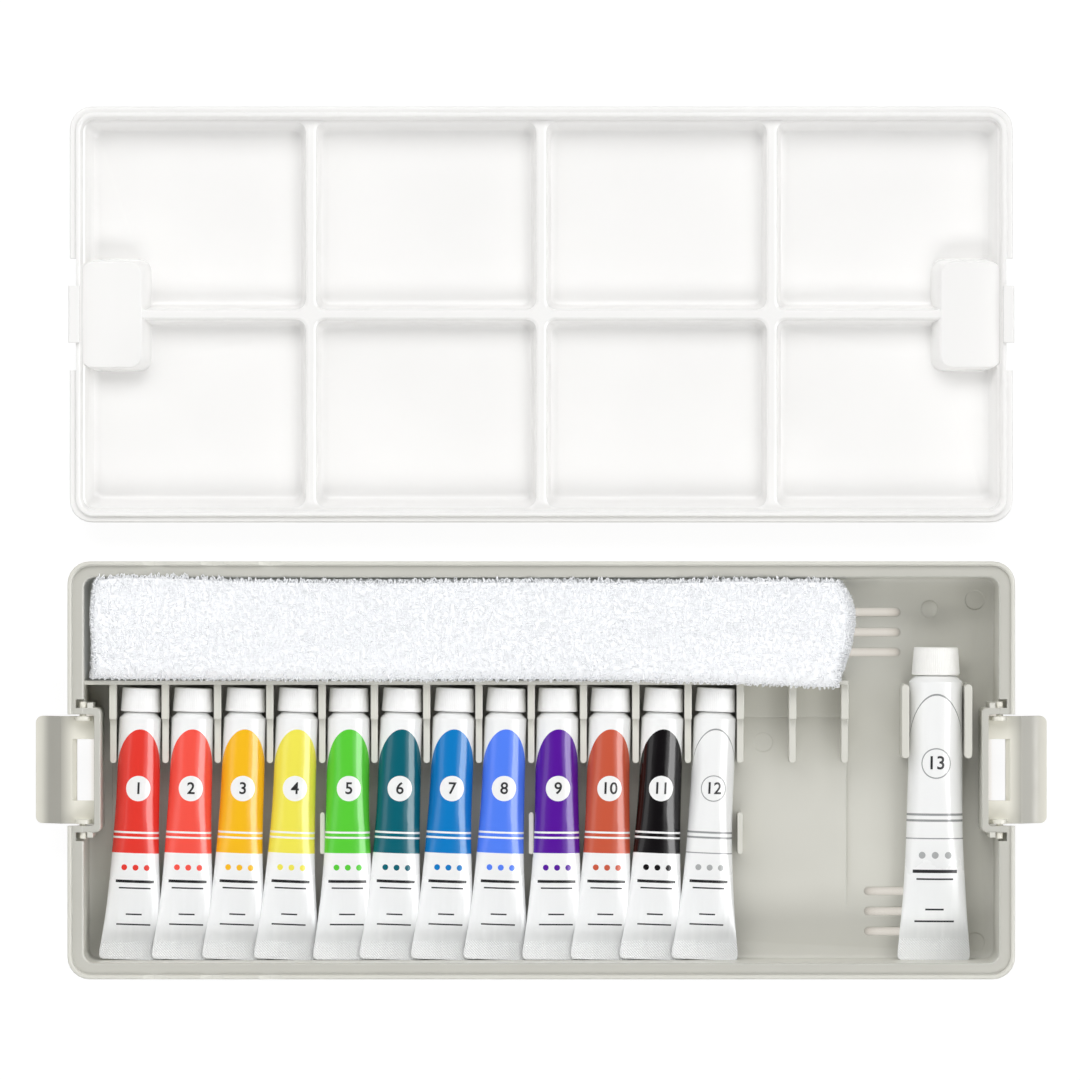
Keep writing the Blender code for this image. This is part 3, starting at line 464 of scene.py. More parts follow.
def laminate(name, paint, size=1.0, lattice_start=87.0, faded=tube_silver):
    """White laminate with a printed panel: an arch over a disc, two rules, dots and bars."""
    made, tree, shader = start_material(name, tube_roughness)
    place = tree.nodes.new("ShaderNodeUVMap")
    place.uv_map = "print_mm"
    apart = tree.nodes.new("ShaderNodeSeparateXYZ")
    tree.links.new(place.outputs["UV"], apart.inputs[0])
    across = number(tree, "DIVIDE", apart.outputs[0], size)
    along = number(tree, "DIVIDE", apart.outputs[1], size)
    arch = number(tree, "POWER", number(tree, "ABSOLUTE", across), 2.0)
    arch = number(tree, "ADD", number(tree, "MULTIPLY", arch, arch_curve), arch_start)
    above = number(tree, "SUBTRACT", along, number(tree, "MINIMUM", arch, arch_end))
    front = number(tree, "LESS_THAN", number(tree, "ABSOLUTE", across), panel_reach)
    before_end = number(tree, "LESS_THAN", along, panel_end)
    panel = both(tree, number(tree, "GREATER_THAN", above, 0.0), before_end, front)
    from_disc = far_from(tree, across, number(tree, "SUBTRACT", along, disc_along))
    disc = number(tree, "LESS_THAN", from_disc, disc_radius)
    rules = either(tree, *(near(tree, along, rule, rule_half) for rule in rules_along))
    rules = both(tree, rules, front)
    wrapped = number(tree, "WRAP", number(tree, "ADD", across, dot_pitch / 2), dot_pitch)
    wrapped.node.inputs[2].default_value = 0.0
    from_dot = far_from(tree, number(tree, "SUBTRACT", wrapped, dot_pitch / 2),
                        number(tree, "SUBTRACT", along, dots_along))
    dots = both(tree, number(tree, "LESS_THAN", from_dot, dot_radius),
                near(tree, across, 0.0, dots_reach))
    black = either(tree, *(both(tree, near(tree, along, bar, half), near(tree, across, 0.0, reach))
                           for bar, half, reach in bars))
    foil = rescale(tree, along, (foil_start, foil_whole), kind="SMOOTHSTEP")
    # The foil is light on its left and painted greyer towards its right: painted shade where the next
    # tube stands over it.
    painted_shade_across = rescale(tree, apart.outputs[0], (-foil_reach * size, foil_reach * size))
    colour = blend(tree, foil, tube_white, shade_colour(tree, faded, painted_shade_across, foil_painted_shade))
    if paint is None:
        edges = either(tree, both(tree, near(tree, above, 0.0, arch_line_half), front, before_end),
                       both(tree, near(tree, along, panel_end, line_half), front),
                       near(tree, from_disc, disc_radius, line_half), rules)
        colour = blend(tree, edges, colour, outline_grey)
        colour = blend(tree, dots, colour, dots_grey)
    else:
        colour = blend(tree, panel, colour, paint)
        colour = blend(tree, both(tree, panel, either(tree, disc, rules)), colour, tube_white)
        colour = blend(tree, dots, colour, paint)
    tree.links.new(blend(tree, black, colour, print_black), shader.inputs["Base Color"])
    # The crimp is pressed with a fine lattice.
    slants = [number(tree, "MULTIPLY", number(tree, way, apart.outputs[0], apart.outputs[1]),
                     2 * math.pi / lattice_pitch) for way in ("ADD", "SUBTRACT")]
    lattice = number(tree, "MAXIMUM", *(number(tree, "SINE", slant) for slant in slants))
    pressed = number(tree, "GREATER_THAN", apart.outputs[1], lattice_start)
    soft_waves = number(tree, "MULTIPLY", noise_at(tree, wave_size, 1.0), wave_height_share)
    # Towards the tail the foil shows through, and shines in streaks where the sheet has buckled.
    stretched = tree.nodes.new("ShaderNodeMapping")
    stretched.inputs["Scale"].default_value = streak_scale
    tree.links.new(place.outputs["UV"], stretched.inputs["Vector"])
    streaks = noise_at(tree, 1.0, 1.0, stretched.outputs["Vector"])
    streaks = number(tree, "MULTIPLY", streaks, foil)
    soft_waves = number(tree, "ADD", soft_waves, number(tree, "MULTIPLY", streaks, streak_height_share))
    pressed = number(tree, "MULTIPLY", pressed, lattice_height_share)
    height = number(tree, "ADD", number(tree, "MULTIPLY", lattice, pressed), soft_waves)
    raise_surface(tree, shader, height, relief, relief_strength)
    tree.links.new(number(tree, "MULTIPLY", foil, foil_metal), shader.inputs["Metallic"])
    rubbed = spread(tree, noise_at(tree, tube_polish_size, 4.0), *tube_polish)
    rubbed = number(tree, "ADD", rubbed, number(tree, "MULTIPLY", foil, foil_matt))
    tree.links.new(rubbed, shader.inputs["Roughness"])
    return made


def tube_placing(x, y, z, lean):
    return Matrix.Translation((x, y, z)) @ Matrix.Rotation(-lean, 4, "Z")


ink_black = (0.022, 0.022, 0.024)
ink_depth = 0.02 * MM
ink_spread = 0.09 * MM
ink_lift = 0.035 * MM
ink_mesh = 0.9 * MM  # longest edge that still follows the round of the tube


def printed_number(name, words, tall, along, rings, places, placing, ink):
    """A plain number as a thin layer of ink that follows the round of the tube."""
    letters = bpy.data.curves.new(name, "FONT")
    letters.body = words
    letters.size = tall
    letters.align_x = "CENTER"
    letters.align_y = "CENTER"
    letters.extrude = ink_depth
    letters.offset = ink_spread
    letters.resolution_u = 6
    raw = put_in_scene(name + "_flat", letters)
    bpy.context.view_layer.update()
    flat = bpy.data.meshes.new_from_object(raw.evaluated_get(bpy.context.evaluated_depsgraph_get()))
    bpy.data.objects.remove(raw)
    shape = bmesh.new()
    shape.from_mesh(flat)
    bmesh.ops.remove_doubles(shape, verts=shape.verts, dist=0.001 * MM)
    for _ in range(3):
        long_edges = [edge for edge in shape.edges if edge.calc_length() > ink_mesh]
        bmesh.ops.subdivide_edges(shape, edges=long_edges, cuts=1)
        bmesh.ops.triangulate(shape, faces=shape.faces)
    rows = places[:, 0, 1]
    for point in shape.verts:
        u = point.co.x / MM
        v = (along - point.co.y) / MM
        row = int(np.clip(np.searchsorted(rows, v) - 1, 0, len(rows) - 2))
        part = (v - rows[row]) / (rows[row + 1] - rows[row])
        spot = []
        for r in (row, row + 1):
            order = np.argsort(places[r, :, 0])
            spot.append([np.interp(u, places[r, order, 0], rings[r, order, axis]) for axis in range(3)])
        here = np.array(spot[0]) * (1 - part) + np.array(spot[1]) * part
        middle_z = (rings[row, :, 2].max() + rings[row, :, 2].min()) / 2
        out = np.array([here[0], 0, here[2] - middle_z])
        out /= np.linalg.norm(out)
        point.co = Vector(here + out * (point.co.z + ink_lift))
    mesh = bpy.data.meshes.new(name)
    shape.to_mesh(mesh)
    shape.free()
    mesh.materials.append(ink)
    piece = put_in_scene(name, mesh)
    piece.matrix_world = placing
    return piece


number_ink, tree, shader = start_material("number_ink", 0.3)
grain = spread(tree, noise_at(tree, 0.4 * MM), 0, 1)
tree.links.new(shade_colour(tree, ink_black, grain, (0.8, 1.3)), shader.inputs["Base Color"])

tube_placings = []
for index in range(tube_count):
    label = f"{index + 1:02d}"
    rings, places = tube_rings(tube_radius, tube_length, tube_tail, tube_crimp, neck_radius, tube_droop,
                               tube_roll, first_seed + index)
    printed = laminate("laminate_" + label, paint_colours[index])
    tube = tube_body("paint_tube_" + label, rings, places, printed)
    placing = tube_placing(tube_shoulder_mm[index] * MM, tube_shoulder_y, tube_shoulder_z,
                           math.radians(tube_lean_degrees[index]))
    tube.matrix_world = placing
    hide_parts("tube_" + label)
    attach(tube, "tube_" + label)
    digits = printed_number("tube_number_" + label, str(index + 1), tube_number_tall, tube_number_at,
                            rings, places, placing, number_ink)
    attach(digits, "tube_" + label)
    tube_placings.append(placing)


# Caps of the small tubes. White polypropylene screw caps, tapered towards the roof and finely
# ribbed for the fingers; each stands just off its tube's shoulder.
cap_white = (0.93, 0.93, 0.925)
cap_gap = 2.1 * MM  # from the tube's shoulder to the cap's mouth
small_cap_size = dict(foot=7.75 * MM, roof=7.35 * MM, tall=9.2 * MM, bore=4.3 * MM, ribs=64,
                      rib_depth=0.14 * MM)
cap_roof_thick = 1.6 * MM
cap_roof_round = 0.6 * MM
cap_cloud_size = 4 * MM
cap_cloud_shares = (0.97, 1.015)
cap_polish_size = 1.2 * MM
cap_polish = (0.30, 0.42)
cap_grain_size = 0.3 * MM
cap_grain_height = 0.02 * MM
rib_wave_shares = [0.0, 0.85, 1.0, 0.85]


def turn_outwards(mesh):
    """Turns every face of a closed mesh outwards."""
    shape = bmesh.new()
    shape.from_mesh(mesh)
    bmesh.ops.recalc_face_normals(shape, faces=shape.faces)
    shape.to_mesh(mesh)
    shape.free()


def ribbed_cap(name, material, foot, roof, tall, bore, ribs, rib_depth):
    """A cap round +Y: mouth at 0, ribbed skirt with a plain foot, rounded roof edge, bored."""
    per_rib = len(rib_wave_shares)
    sides = ribs * per_rib
    turn = 2 * math.pi * np.arange(sides) / sides
    wave = np.array(rib_wave_shares)[np.arange(sides) % per_rib]
    bend = cap_roof_round
    outline = [(bore, tall - cap_roof_thick, 0), (bore, 0.15 * MM, 0), (bore + 0.3 * MM, 0, 0),
               (foot - 0.45 * MM, 0, 0), (foot - 0.12 * MM, 0.12 * MM, 0), (foot, 0.45 * MM, 0),
               (foot, 0.75 * MM, 0), (foot - 0.02 * MM, 0.95 * MM, 1)]
    for step in range(1, 7):
        share = step / 7
        outline.append((foot + (roof - foot) * share, 0.95 * MM + (tall - bend - 1.15 * MM) * share, 1))
    outline.append((roof, tall - bend - 0.1 * MM, 1))
    for step in range(6):
        angle = math.pi / 2 * step / 5
        outline.append((roof - bend + bend * math.cos(angle), tall - bend + bend * math.sin(angle),
                        max(0.0, 0.6 - 0.3 * step)))
    outline.append((roof - 2.2 * MM, tall, 0))
    outline.append((roof - 2.6 * MM, tall - 0.12 * MM, 0))
    points = []
    for reach, y, ribbed in outline:
        out = reach - rib_depth * ribbed * (1 - wave)
        points.append(np.stack([out * np.cos(turn), np.full(sides, y), out * np.sin(turn)], 1))
    points = np.concatenate(points)
    faces = []
    for row in range(len(outline) - 1):
        for side in range(sides):
            after = (side + 1) % sides
            faces.append((row * sides + side, row * sides + after,
                          (row + 1) * sides + after, (row + 1) * sides + side))
    last = (len(outline) - 1) * sides
    faces.append(tuple(range(sides))[::-1])
    faces.append(tuple(last + k for k in range(sides)))
    mesh = bpy.data.meshes.new(name)
    mesh.from_pydata([tuple(p) for p in points], [], faces)
    turn_outwards(mesh)
    mesh.shade_smooth()
    mesh.materials.append(material)
    return mesh


def cap_material(name, colour):
    """Moulded polypropylene, a little cloudy and satin."""
    made, tree, shader = start_material(name, 0.36)
    cloud = spread(tree, noise_at(tree, cap_cloud_size, 3.0), 0.0, 1.0)
    tree.links.new(shade_colour(tree, colour, cloud, cap_cloud_shares), shader.inputs["Base Color"])
    rubbed = spread(tree, noise_at(tree, cap_polish_size, 4.0), *cap_polish)
    tree.links.new(rubbed, shader.inputs["Roughness"])
    raise_surface(tree, shader, noise_at(tree, cap_grain_size, 2.0), cap_grain_height, 0.4)
    return made


small_cap = ribbed_cap("small_cap", cap_material("cap_plastic", cap_white), **small_cap_size)
for index, placing in enumerate(tube_placings):
    label = f"{index + 1:02d}"
    cap = put_in_scene("screw_cap_" + label, small_cap)
    cap.matrix_world = placing @ Matrix.Translation((0, cap_gap, 0))
    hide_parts("cap_" + label)
    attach(cap, "cap_" + label)


# Large white tube and its cap. The same laminate and the same make, a size up, printed only
# with a thin outline; it lies alone, held at its shoulder by the two clips.
big_radius = 10.4 * MM
big_length = 108.5 * MM
big_tail = 28 * MM
big_crimp = 7.4 * MM
big_neck = 5 * MM
big_droop = 3.2 * MM
big_lean = math.radians(0.35)
big_seed = 77
big_shoulder = (152.7 * MM, -53.7 * MM, 12.7 * MM)
big_print_size = 1.16  # against a small tube's print
big_lattice_start = 99.9
big_silver = (0.95, 0.965, 0.965)
big_number_tall = 7.2 * MM
big_number_at = 31.9 * MM
big_cap_size = dict(foot=9.3 * MM, roof=8.6 * MM, tall=10.8 * MM, bore=5.3 * MM, ribs=76,
                    rib_depth=0.18 * MM)
big_cap_white = (0.93, 0.925, 0.895)
rings, places = tube_rings(big_radius, big_length, big_tail, big_crimp, big_neck, big_droop, 0,
                           big_seed)
printed = laminate("laminate_large", None, big_print_size, big_lattice_start, big_silver)
big_tube = tube_body("paint_tube_large", rings, places, printed)
placing = tube_placing(*big_shoulder, big_lean)
big_tube.matrix_world = placing
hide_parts("tube_large")
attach(big_tube, "tube_large")
big_number = printed_number("tube_number_large", "13", big_number_tall, big_number_at, rings, places,
                            placing, number_ink)
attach(big_number, "tube_large")
large_cap = ribbed_cap("large_cap", cap_material("large_cap_plastic", big_cap_white), **big_cap_size)
big_cap = put_in_scene("screw_cap_large", large_cap)
big_cap.matrix_world = placing @ Matrix.Translation((0, cap_gap, 0))
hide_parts("cap_large")
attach(big_cap, "cap_large")


# Towel. One square of white cotton terry, folded to eight layers and laid in the bay with its
# wrapped side over the tube wall; looped pile stands on every face of the cloth.
towel_low = Vector((-175.2, -52.6, 2.4)) * MM
towel_high = Vector((119.8, -14.7, 29.4)) * MM
towel_layers = 8
cloth_thick = 2.3 * MM
cloth_white = (0.965, 0.972, 0.99)
towel_wall_top = 22 * MM
ledge_top = 28.4 * MM
# Where along the box the cloth lies out over the wall and over the ledge, and by how much.
over_wall_at = np.array([-176, -160, -60, 40, 66, 88, 108, 121]) * MM
over_wall = np.array([0.2, 1.0, 1.3, 1.7, 2.6, 3.4, 4.9, 4.4]) * MM
over_ledge_at = np.array([-176, -160, -138, -120, -60, 50, 72, 92, 110, 121]) * MM
over_ledge = np.array([0.9, 2.6, 2.0, 0.9, 0.3, 0.3, 1.2, 1.0, 0.3, 0]) * MM
wrap_gap = 3.4 * MM  # room before the inner folds for the layer that wraps round them
wrap_reach = 5 * MM
inner_end_gap = 3 * MM
outer_end_gap = 0.5 * MM
# The two ends of the fold: how far they waver, and draw back at their corners and outer layers.
left_sway, right_sway = 0.8 * MM, 0.9 * MM
left_corner, right_corner = 1.6 * MM, 5.8 * MM
left_layers, right_layers = 1.3 * MM, 2.4 * MM
left_inset = 2.0 * MM
right_belly_share = 0.25  # where across the fold the right end reaches furthest
side_sway = 0.4 * MM
top_sway = 0.55 * MM
crown_fall = 0.5 * MM
ledge_lift = 2.2 * MM
end_droop = 1.6 * MM
cloth_points = 300
cloth_columns = 150
rng = np.random.default_rng(11)


def ripple(x, y, seed, size):
    """Smooth unevenness between about -1 and 1."""
    own = np.random.default_rng(seed)
    total = 0
    for _ in range(5):
        way = own.uniform(0, 2 * math.pi)
        pitch = size * own.uniform(0.7, 1.8)
        total = total + np.sin((x * math.cos(way) + y * math.sin(way)) / pitch + own.uniform(0, 6.3))
    return total / 2.6


def towel_path():
    """The fold seen from its end: six layers to and fro, the bottom one, the wrap, the top one."""
    step = (towel_high.z - towel_low.z) / towel_layers
    level = [towel_low.z + step * (i + 0.5) for i in range(towel_layers)]
    front, back = towel_low.y + cloth_thick / 2, towel_high.y - cloth_thick / 2
    inner_front = front + wrap_gap
    spots = []

    def run(y_from, y_to, z, count=26):
        for share in np.linspace(0, 1, count):
            spots.append((y_from + (y_to - y_from) * share, z))

    def turn(y, z_from, z_to, outwards, reach):
        for share in np.linspace(0, 1, 11)[1:-1]:
            angle = math.pi * share
            spots.append((y + outwards * reach * math.sin(angle) ** 0.8,
                          z_from + (z_to - z_from) * (1 - math.cos(angle)) / 2))

    bend = step / 2
    toward_front = True
    for layer in range(6, 0, -1):
        a, b = (back - bend, inner_front + bend) if toward_front else (inner_front + bend, back - bend)
        if layer == 6:
            a = back - inner_end_gap
        run(a, b, level[layer])
        turn(b, level[layer], level[layer - 1], -1 if toward_front else 1, bend)
        toward_front = not toward_front
    run(back - bend, front + wrap_reach, level[0])
    for share in np.linspace(0, 1, 27)[1:-1]:
        angle = math.pi * share
        spots.append((front + wrap_reach - wrap_reach * math.sin(angle) ** 0.5,
                      level[0] + (level[7] - level[0]) * (0.5 - 0.5 * math.copysign(
                          abs(math.cos(angle)) ** 0.8, math.cos(angle)))))
    run(front + wrap_reach, back - outer_end_gap, level[7], 34)
    return np.array(spots)


path = towel_path()
steps = np.linalg.norm(np.diff(path, axis=0), axis=1)
length_at = np.concatenate([[0], np.cumsum(steps)])
even = np.linspace(0, length_at[-1], cloth_points)
path = np.stack([np.interp(even, length_at, path[:, 0]), np.interp(even, length_at, path[:, 1])], 1)
for _ in range(2):
    path[1:-1] = (path[:-2] + 2 * path[1:-1] + path[2:]) / 4
along_path = np.gradient(path, axis=0)
along_path /= np.linalg.norm(along_path, axis=1)[:, None]
path_out = np.stack([along_path[:, 1], -along_path[:, 0]], 1)


def eased(value):
    value = np.clip(value, 0, 1)
    return value * value * (3 - 2 * value)


def towel_point(y, z, share):
    """Where a point of the fold comes to lie: uneven ends, a crown, and a spill over the rims."""
    mid_y = (towel_low.y + towel_high.y) / 2
    half_y = (towel_high.y - towel_low.y) / 2
    high = (z - towel_low.z) / (towel_high.z - towel_low.z)
    off = (y - mid_y) / half_y
    start = towel_low.x + left_sway * ripple(y, z, 3, 7 * MM) + left_inset
    start = start + left_corner * np.clip(off, 0, 1) ** 4 + left_layers * np.abs(high * 2 - 1) ** 3
    belly = right_belly_share
    off_belly = np.where(off > belly, (off - belly) / (1 - belly), (belly - off) / (1 + belly))
    end = towel_high.x - right_corner * off_belly ** np.where(off > belly, 2.0, 1.6)
    end = end + right_sway * ripple(y, z, 5, 8 * MM) - right_layers * np.abs(high * 2 - 1) ** 3
    x = start + (end - start) * share
    out = np.interp(x, over_wall_at, over_wall) * eased((z - towel_wall_top - 0.4 * MM) / (2.6 * MM))
    out = out * np.clip((-off - 0.1) / 0.9, 0, 1) ** 1.3
    spill = np.interp(x, over_ledge_at, over_ledge)
    back = spill * eased((high - 0.84) / 0.08) * np.clip((off - 0.1) / 0.9, 0, 1) ** 1.3
    shift = back - out + side_sway * ripple(x, 0 * x, 8, 22 * MM) * high
    lift = (top_sway * ripple(x, y * 2, 9, 16 * MM) - crown_fall * off ** 2) * high ** 2
    lift = lift + ledge_lift * np.clip(spill / MM, 0, 1) * eased((high - 0.82) / 0.08) * np.clip(
        (off - 0.5) / 0.45, 0, 1) ** 2
    tip = np.exp(-(x - start) / (5 * MM)) + np.exp(-(end - x) / (6 * MM))
    lift = lift - end_droop * tip * (high - 0.45)
    return x, y + shift, z + lift


rows, cols = cloth_points, cloth_columns
width_shares = np.linspace(0, 1, cols)
outer, inner = [], []
for middle, out in zip(path, path_out):
    for kept, way in ((outer, 1), (inner, -1)):
        y, z = middle + out * way * cloth_thick / 2
        kept.append(np.stack(towel_point(np.full(cols, y), np.full(cols, z), width_shares), 1))
outer, inner = np.array(outer), np.array(inner)
grid = np.concatenate([outer.reshape(-1, 3), inner.reshape(-1, 3)])
offset = rows * cols
faces = []
for k in range(rows - 1):
    for c in range(cols - 1):
        a = k * cols + c
        faces.append((a, a + 1, a + cols + 1, a + cols))
        b = offset + a
        faces.append((b, b + cols, b + cols + 1, b + 1))
for k in range(rows - 1):
    a, b = k * cols, offset + k * cols
    faces.append((a, a + cols, b + cols, b))
    a, b = a + cols - 1, b + cols - 1
    faces.append((a, b, b + cols, a + cols))
for c in range(cols - 1):
    faces.append((c, offset + c, offset + c + 1, c + 1))
    a = (rows - 1) * cols + c
    faces.append((a, a + 1, offset + a + 1, offset + a))
mesh = bpy.data.meshes.new("towel_cloth")
mesh.from_pydata([tuple(p) for p in grid], [], faces)
turn_outwards(mesh)
mesh.shade_smooth()
towel = put_in_scene("towel_cloth", mesh)
terry_roughness = 0.92
curl_size = 0.62 * MM
curl_height = 0.3 * MM
# A faint painted glow on the cotton, lifting the shade in its pile.
painted_glow_colour = (0.93, 0.97, 1.0)
painted_glow_strength = 0.09


def terry_material(name, shares):
    """Bleached cotton: matt and curly, painted a little darker where its curls lie low, with a faint
    painted glow that lifts the shade in its pile.
    """
    made, tree, shader = start_material(name, terry_roughness, 0.2)
    curls = noise_at(tree, curl_size, 3.0)
    # Painted shade: the cloth is a little darker where its curls lie low.
    cloud = spread(tree, curls, 0.0, 1.0)
    tree.links.new(shade_colour(tree, cloth_white, cloud, shares), shader.inputs["Base Color"])
    shader.inputs["Sheen Weight"].default_value = 0.15
    shader.inputs["Sheen Roughness"].default_value = 0.5
    shader.inputs["Emission Color"].default_value = (*painted_glow_colour, 1)
    shader.inputs["Emission Strength"].default_value = painted_glow_strength
    raise_surface(tree, shader, curls, curl_height, 0.35)
    return made


mesh.materials.append(terry_material("terry_ground", (0.96, 1.0)))
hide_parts("towel")
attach(towel, "towel")

pile_yarn = 0.22 * MM
pile_high = 1.2 * MM
pile_wide = 1.15 * MM
# How high, and on the top how wide too, the loops stand as shares of a free loop.
top_loop_shares = (0.5, 0.75)
rim_loop_share = 0.85
side_loop_share = 0.45
loop_degrees = [-12, 38, 90, 142, 192]
terry_pile = terry_material("terry_pile", (0.97, 1.01))


def pile_spots(face_grid, far_grid, keep, per_cell):
    """Loops set in rows as a loom sets them, each a little off its place, and the way out there."""
    a, b, c = face_grid[:-1, :-1], face_grid[1:, :-1], face_grid[:-1, 1:]
    out = a - far_grid[:-1, :-1]
    out = out / np.linalg.norm(out, axis=2)[:, :, None]
    i, j = (np.repeat(spot, per_cell) for spot in np.nonzero(keep(a, out)))
    s = rng.random(len(i))
    t = (np.arange(len(i)) % per_cell + rng.uniform(0.05, 0.95, len(i))) / per_cell
    place = a[i, j] + (b[i, j] - a[i, j]) * s[:, None] + (c[i, j] - a[i, j]) * t[:, None]
    return place, out[i, j]


def pile_piece(name, place, out, height=1.0, width=1.0):
    """Loops of yarn: each springs from the cloth, leans a little and returns beside its foot."""
    count = len(place)
    some = rng.normal(size=(count, 3))
    side = np.cross(out, some)
    side /= np.linalg.norm(side, axis=1)[:, None]
    lean = np.cross(out, side)
    high = pile_high * height * rng.uniform(0.7, 1.25, count)[:, None]
    wide = pile_wide * width * rng.uniform(0.6, 1.3, count)[:, None] / 2
    tilt = rng.normal(0, 0.45, count)[:, None]
    yarn = pile_yarn * rng.uniform(0.8, 1.25, count)[:, None]
    angles = np.radians(loop_degrees)
    centres = np.array([place + side * wide * math.cos(angle) + out * high * math.sin(angle)
                        + lean * tilt * high * max(0.0, math.sin(angle)) for angle in angles])
    along = np.gradient(centres, axis=0)
    along /= np.linalg.norm(along, axis=2)[:, :, None]
    points = []
    for k in range(len(angles)):
        first = np.cross(along[k], lean)
        first /= np.linalg.norm(first, axis=1)[:, None]
        second = np.cross(along[k], first)
        for corner in range(3):
            turn = 2 * math.pi * corner / 3
            points.append(centres[k] + yarn * (first * math.cos(turn) + second * math.sin(turn)))
    points = np.array(points).transpose(1, 0, 2).reshape(-1, 3)
    per = 3 * len(angles)
    pattern = []
    for k in range(len(angles) - 1):
        for corner in range(3):
            after = (corner + 1) % 3
            pattern.append((3 * k + corner, 3 * k + after, 3 * k + 3 + after, 3 * k + 3 + corner))
    quads = (np.array(pattern)[None] + per * np.arange(count)[:, None, None]).reshape(-1, 4)
    ends = np.array([(0, 2, 1), (per - 3, per - 2, per - 1)])
    tris = (ends[None] + per * np.arange(count)[:, None, None]).reshape(-1, 3)
    mesh = bpy.data.meshes.new(name)
    mesh.vertices.add(len(points))
    mesh.vertices.foreach_set("co", points.astype(np.float32).ravel())
    loops = np.concatenate([quads.ravel(), tris.ravel()])
    mesh.loops.add(len(loops))
    mesh.loops.foreach_set("vertex_index", loops)
    starts = np.concatenate([np.arange(len(quads)) * 4, len(quads) * 4 + np.arange(len(tris)) * 3])
    mesh.polygons.add(len(starts))
    mesh.polygons.foreach_set("loop_start", starts)
    mesh.update(calc_edges=True)
    mesh.validate()
    mesh.shade_smooth()
    mesh.materials.append(terry_pile)
    piece = put_in_scene(name, mesh)
    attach(piece, "towel")
    return piece


top_z = towel_high.z
front_y, back_y = towel_low.y, towel_high.y
faces_of_cloth = ((outer, inner), (inner, outer))


def on_front(p, n):
    return (n[:, :, 1] < -0.3) & (p[:, :, 1] < front_y + 3 * MM)


def on_back(p, n):
    return (n[:, :, 1] > 0.3) & (p[:, :, 1] > back_y - 3 * MM)


def on_crown(p, n):
    """The top, and what of the two long sides stands clear of the wall and the ledge."""
    above = (n[:, :, 2] > 0.35) & (p[:, :, 2] > top_z - 6 * MM)
    before = on_front(p, n) & (p[:, :, 2] > towel_wall_top + 0.9 * MM)
    behind = on_back(p, n) & (p[:, :, 2] > ledge_top - 0.6 * MM)
    return above | before | behind


def on_flank(p, n):
    return (on_front(p, n) | on_back(p, n)) & ~on_crown(p, n)


def on_top(p, n):
    """The flat of the top, where the loops lie pressed down."""
    inside = (p[:, :, 1] > front_y + 2.5 * MM) & (p[:, :, 1] < back_y - 2.2 * MM)
    inside = inside & (p[:, :, 0] > towel_low.x + 5 * MM) & (p[:, :, 0] < towel_high.x - 7 * MM)
    return on_crown(p, n) & inside & (n[:, :, 2] > 0.5)


def on_rim(p, n):
    return on_crown(p, n) & ~on_top(p, n)


def laid_pile(where, per_cell):
    laid = [pile_spots(near_grid, far_grid, where, per_cell) for near_grid, far_grid in faces_of_cloth]
    return np.concatenate([p for p, _ in laid]), np.concatenate([n for _, n in laid])


cloth_wide = (towel_high.x - towel_low.x)
left_third, right_third = towel_low.x + cloth_wide / 3, towel_high.x - cloth_wide / 3
for part, low, high in (("left", -math.inf, left_third), ("middle", left_third, right_third),
                        ("right", right_third, math.inf)):
    laid = laid_pile(lambda p, n: on_top(p, n) & (p[:, :, 0] >= low) & (p[:, :, 0] < high), 2)
    pile_piece("towel_pile_" + part, *laid, *top_loop_shares)
pile_piece("towel_pile_rims", *laid_pile(on_rim, 1), rim_loop_share)
pile_piece("towel_pile_sides", *laid_pile(on_flank, 1), side_loop_share)
# Along the open edges the loops spray outwards.
end_places, end_outs = [], []
for column, way in ((0, -1.0), (cols - 1, 1.0)):
    for _ in range(5):
        mix = rng.random((rows, 1))
        end_places.append(outer[:, column] * mix + inner[:, column] * (1 - mix))
        spray = [rng.normal(0, 0.25, rows) for _ in range(2)]
        end_outs.append(np.stack([np.full(rows, way), *spray], 1))
edge_out = np.stack([np.zeros(cols), np.full(cols, 0.95), np.full(cols, 0.3)], 1)
for _ in range(6):
    end_places.append(outer[-1] * 0.5 + inner[-1] * 0.5 + rng.normal(0, 0.5 * MM, (cols, 3)))
    end_outs.append(edge_out)
end_outs = np.concatenate(end_outs)
end_outs /= np.linalg.norm(end_outs, axis=1)[:, None]
pile_piece("towel_pile_ends", np.concatenate(end_places), end_outs)


# Photo table. White paper that glows white to the camera and half as much to the set, with painted
# shade and a painted warm bounce close under the box.
table_grey = (0.16, 0.16, 0.16)
table_glow_share = 0.45  # how much of the glow lights the set
# Painted shade and a painted warm bounce on the table close under the box, out to this reach.
shade_reach = 5 * MM
shade_least = 0.02
glow_most = 0.9
painted_warm_bounce = (1, 0.93, 0.82)
warm_until = (0.6, 0.9)
bpy.ops.mesh.primitive_plane_add(size=6, location=(0, 0, -0.0002))
table = bpy.context.object
table.name = "photo_table"
table_paper, tree, shader = start_material("table_paper", 0.9, 0.1)
cloud = spread(tree, noise_at(tree, 400 * MM, 2.0), 0, 1)
tree.links.new(shade_colour(tree, table_grey, cloud, (0.99, 1.0)), shader.inputs["Base Color"])
ray = tree.nodes.new("ShaderNodeLightPath")
seen = either(tree, *(ray.outputs[kind] for kind in ("Is Camera Ray", "Is Glossy Ray",
                                                     "Is Transmission Ray")))
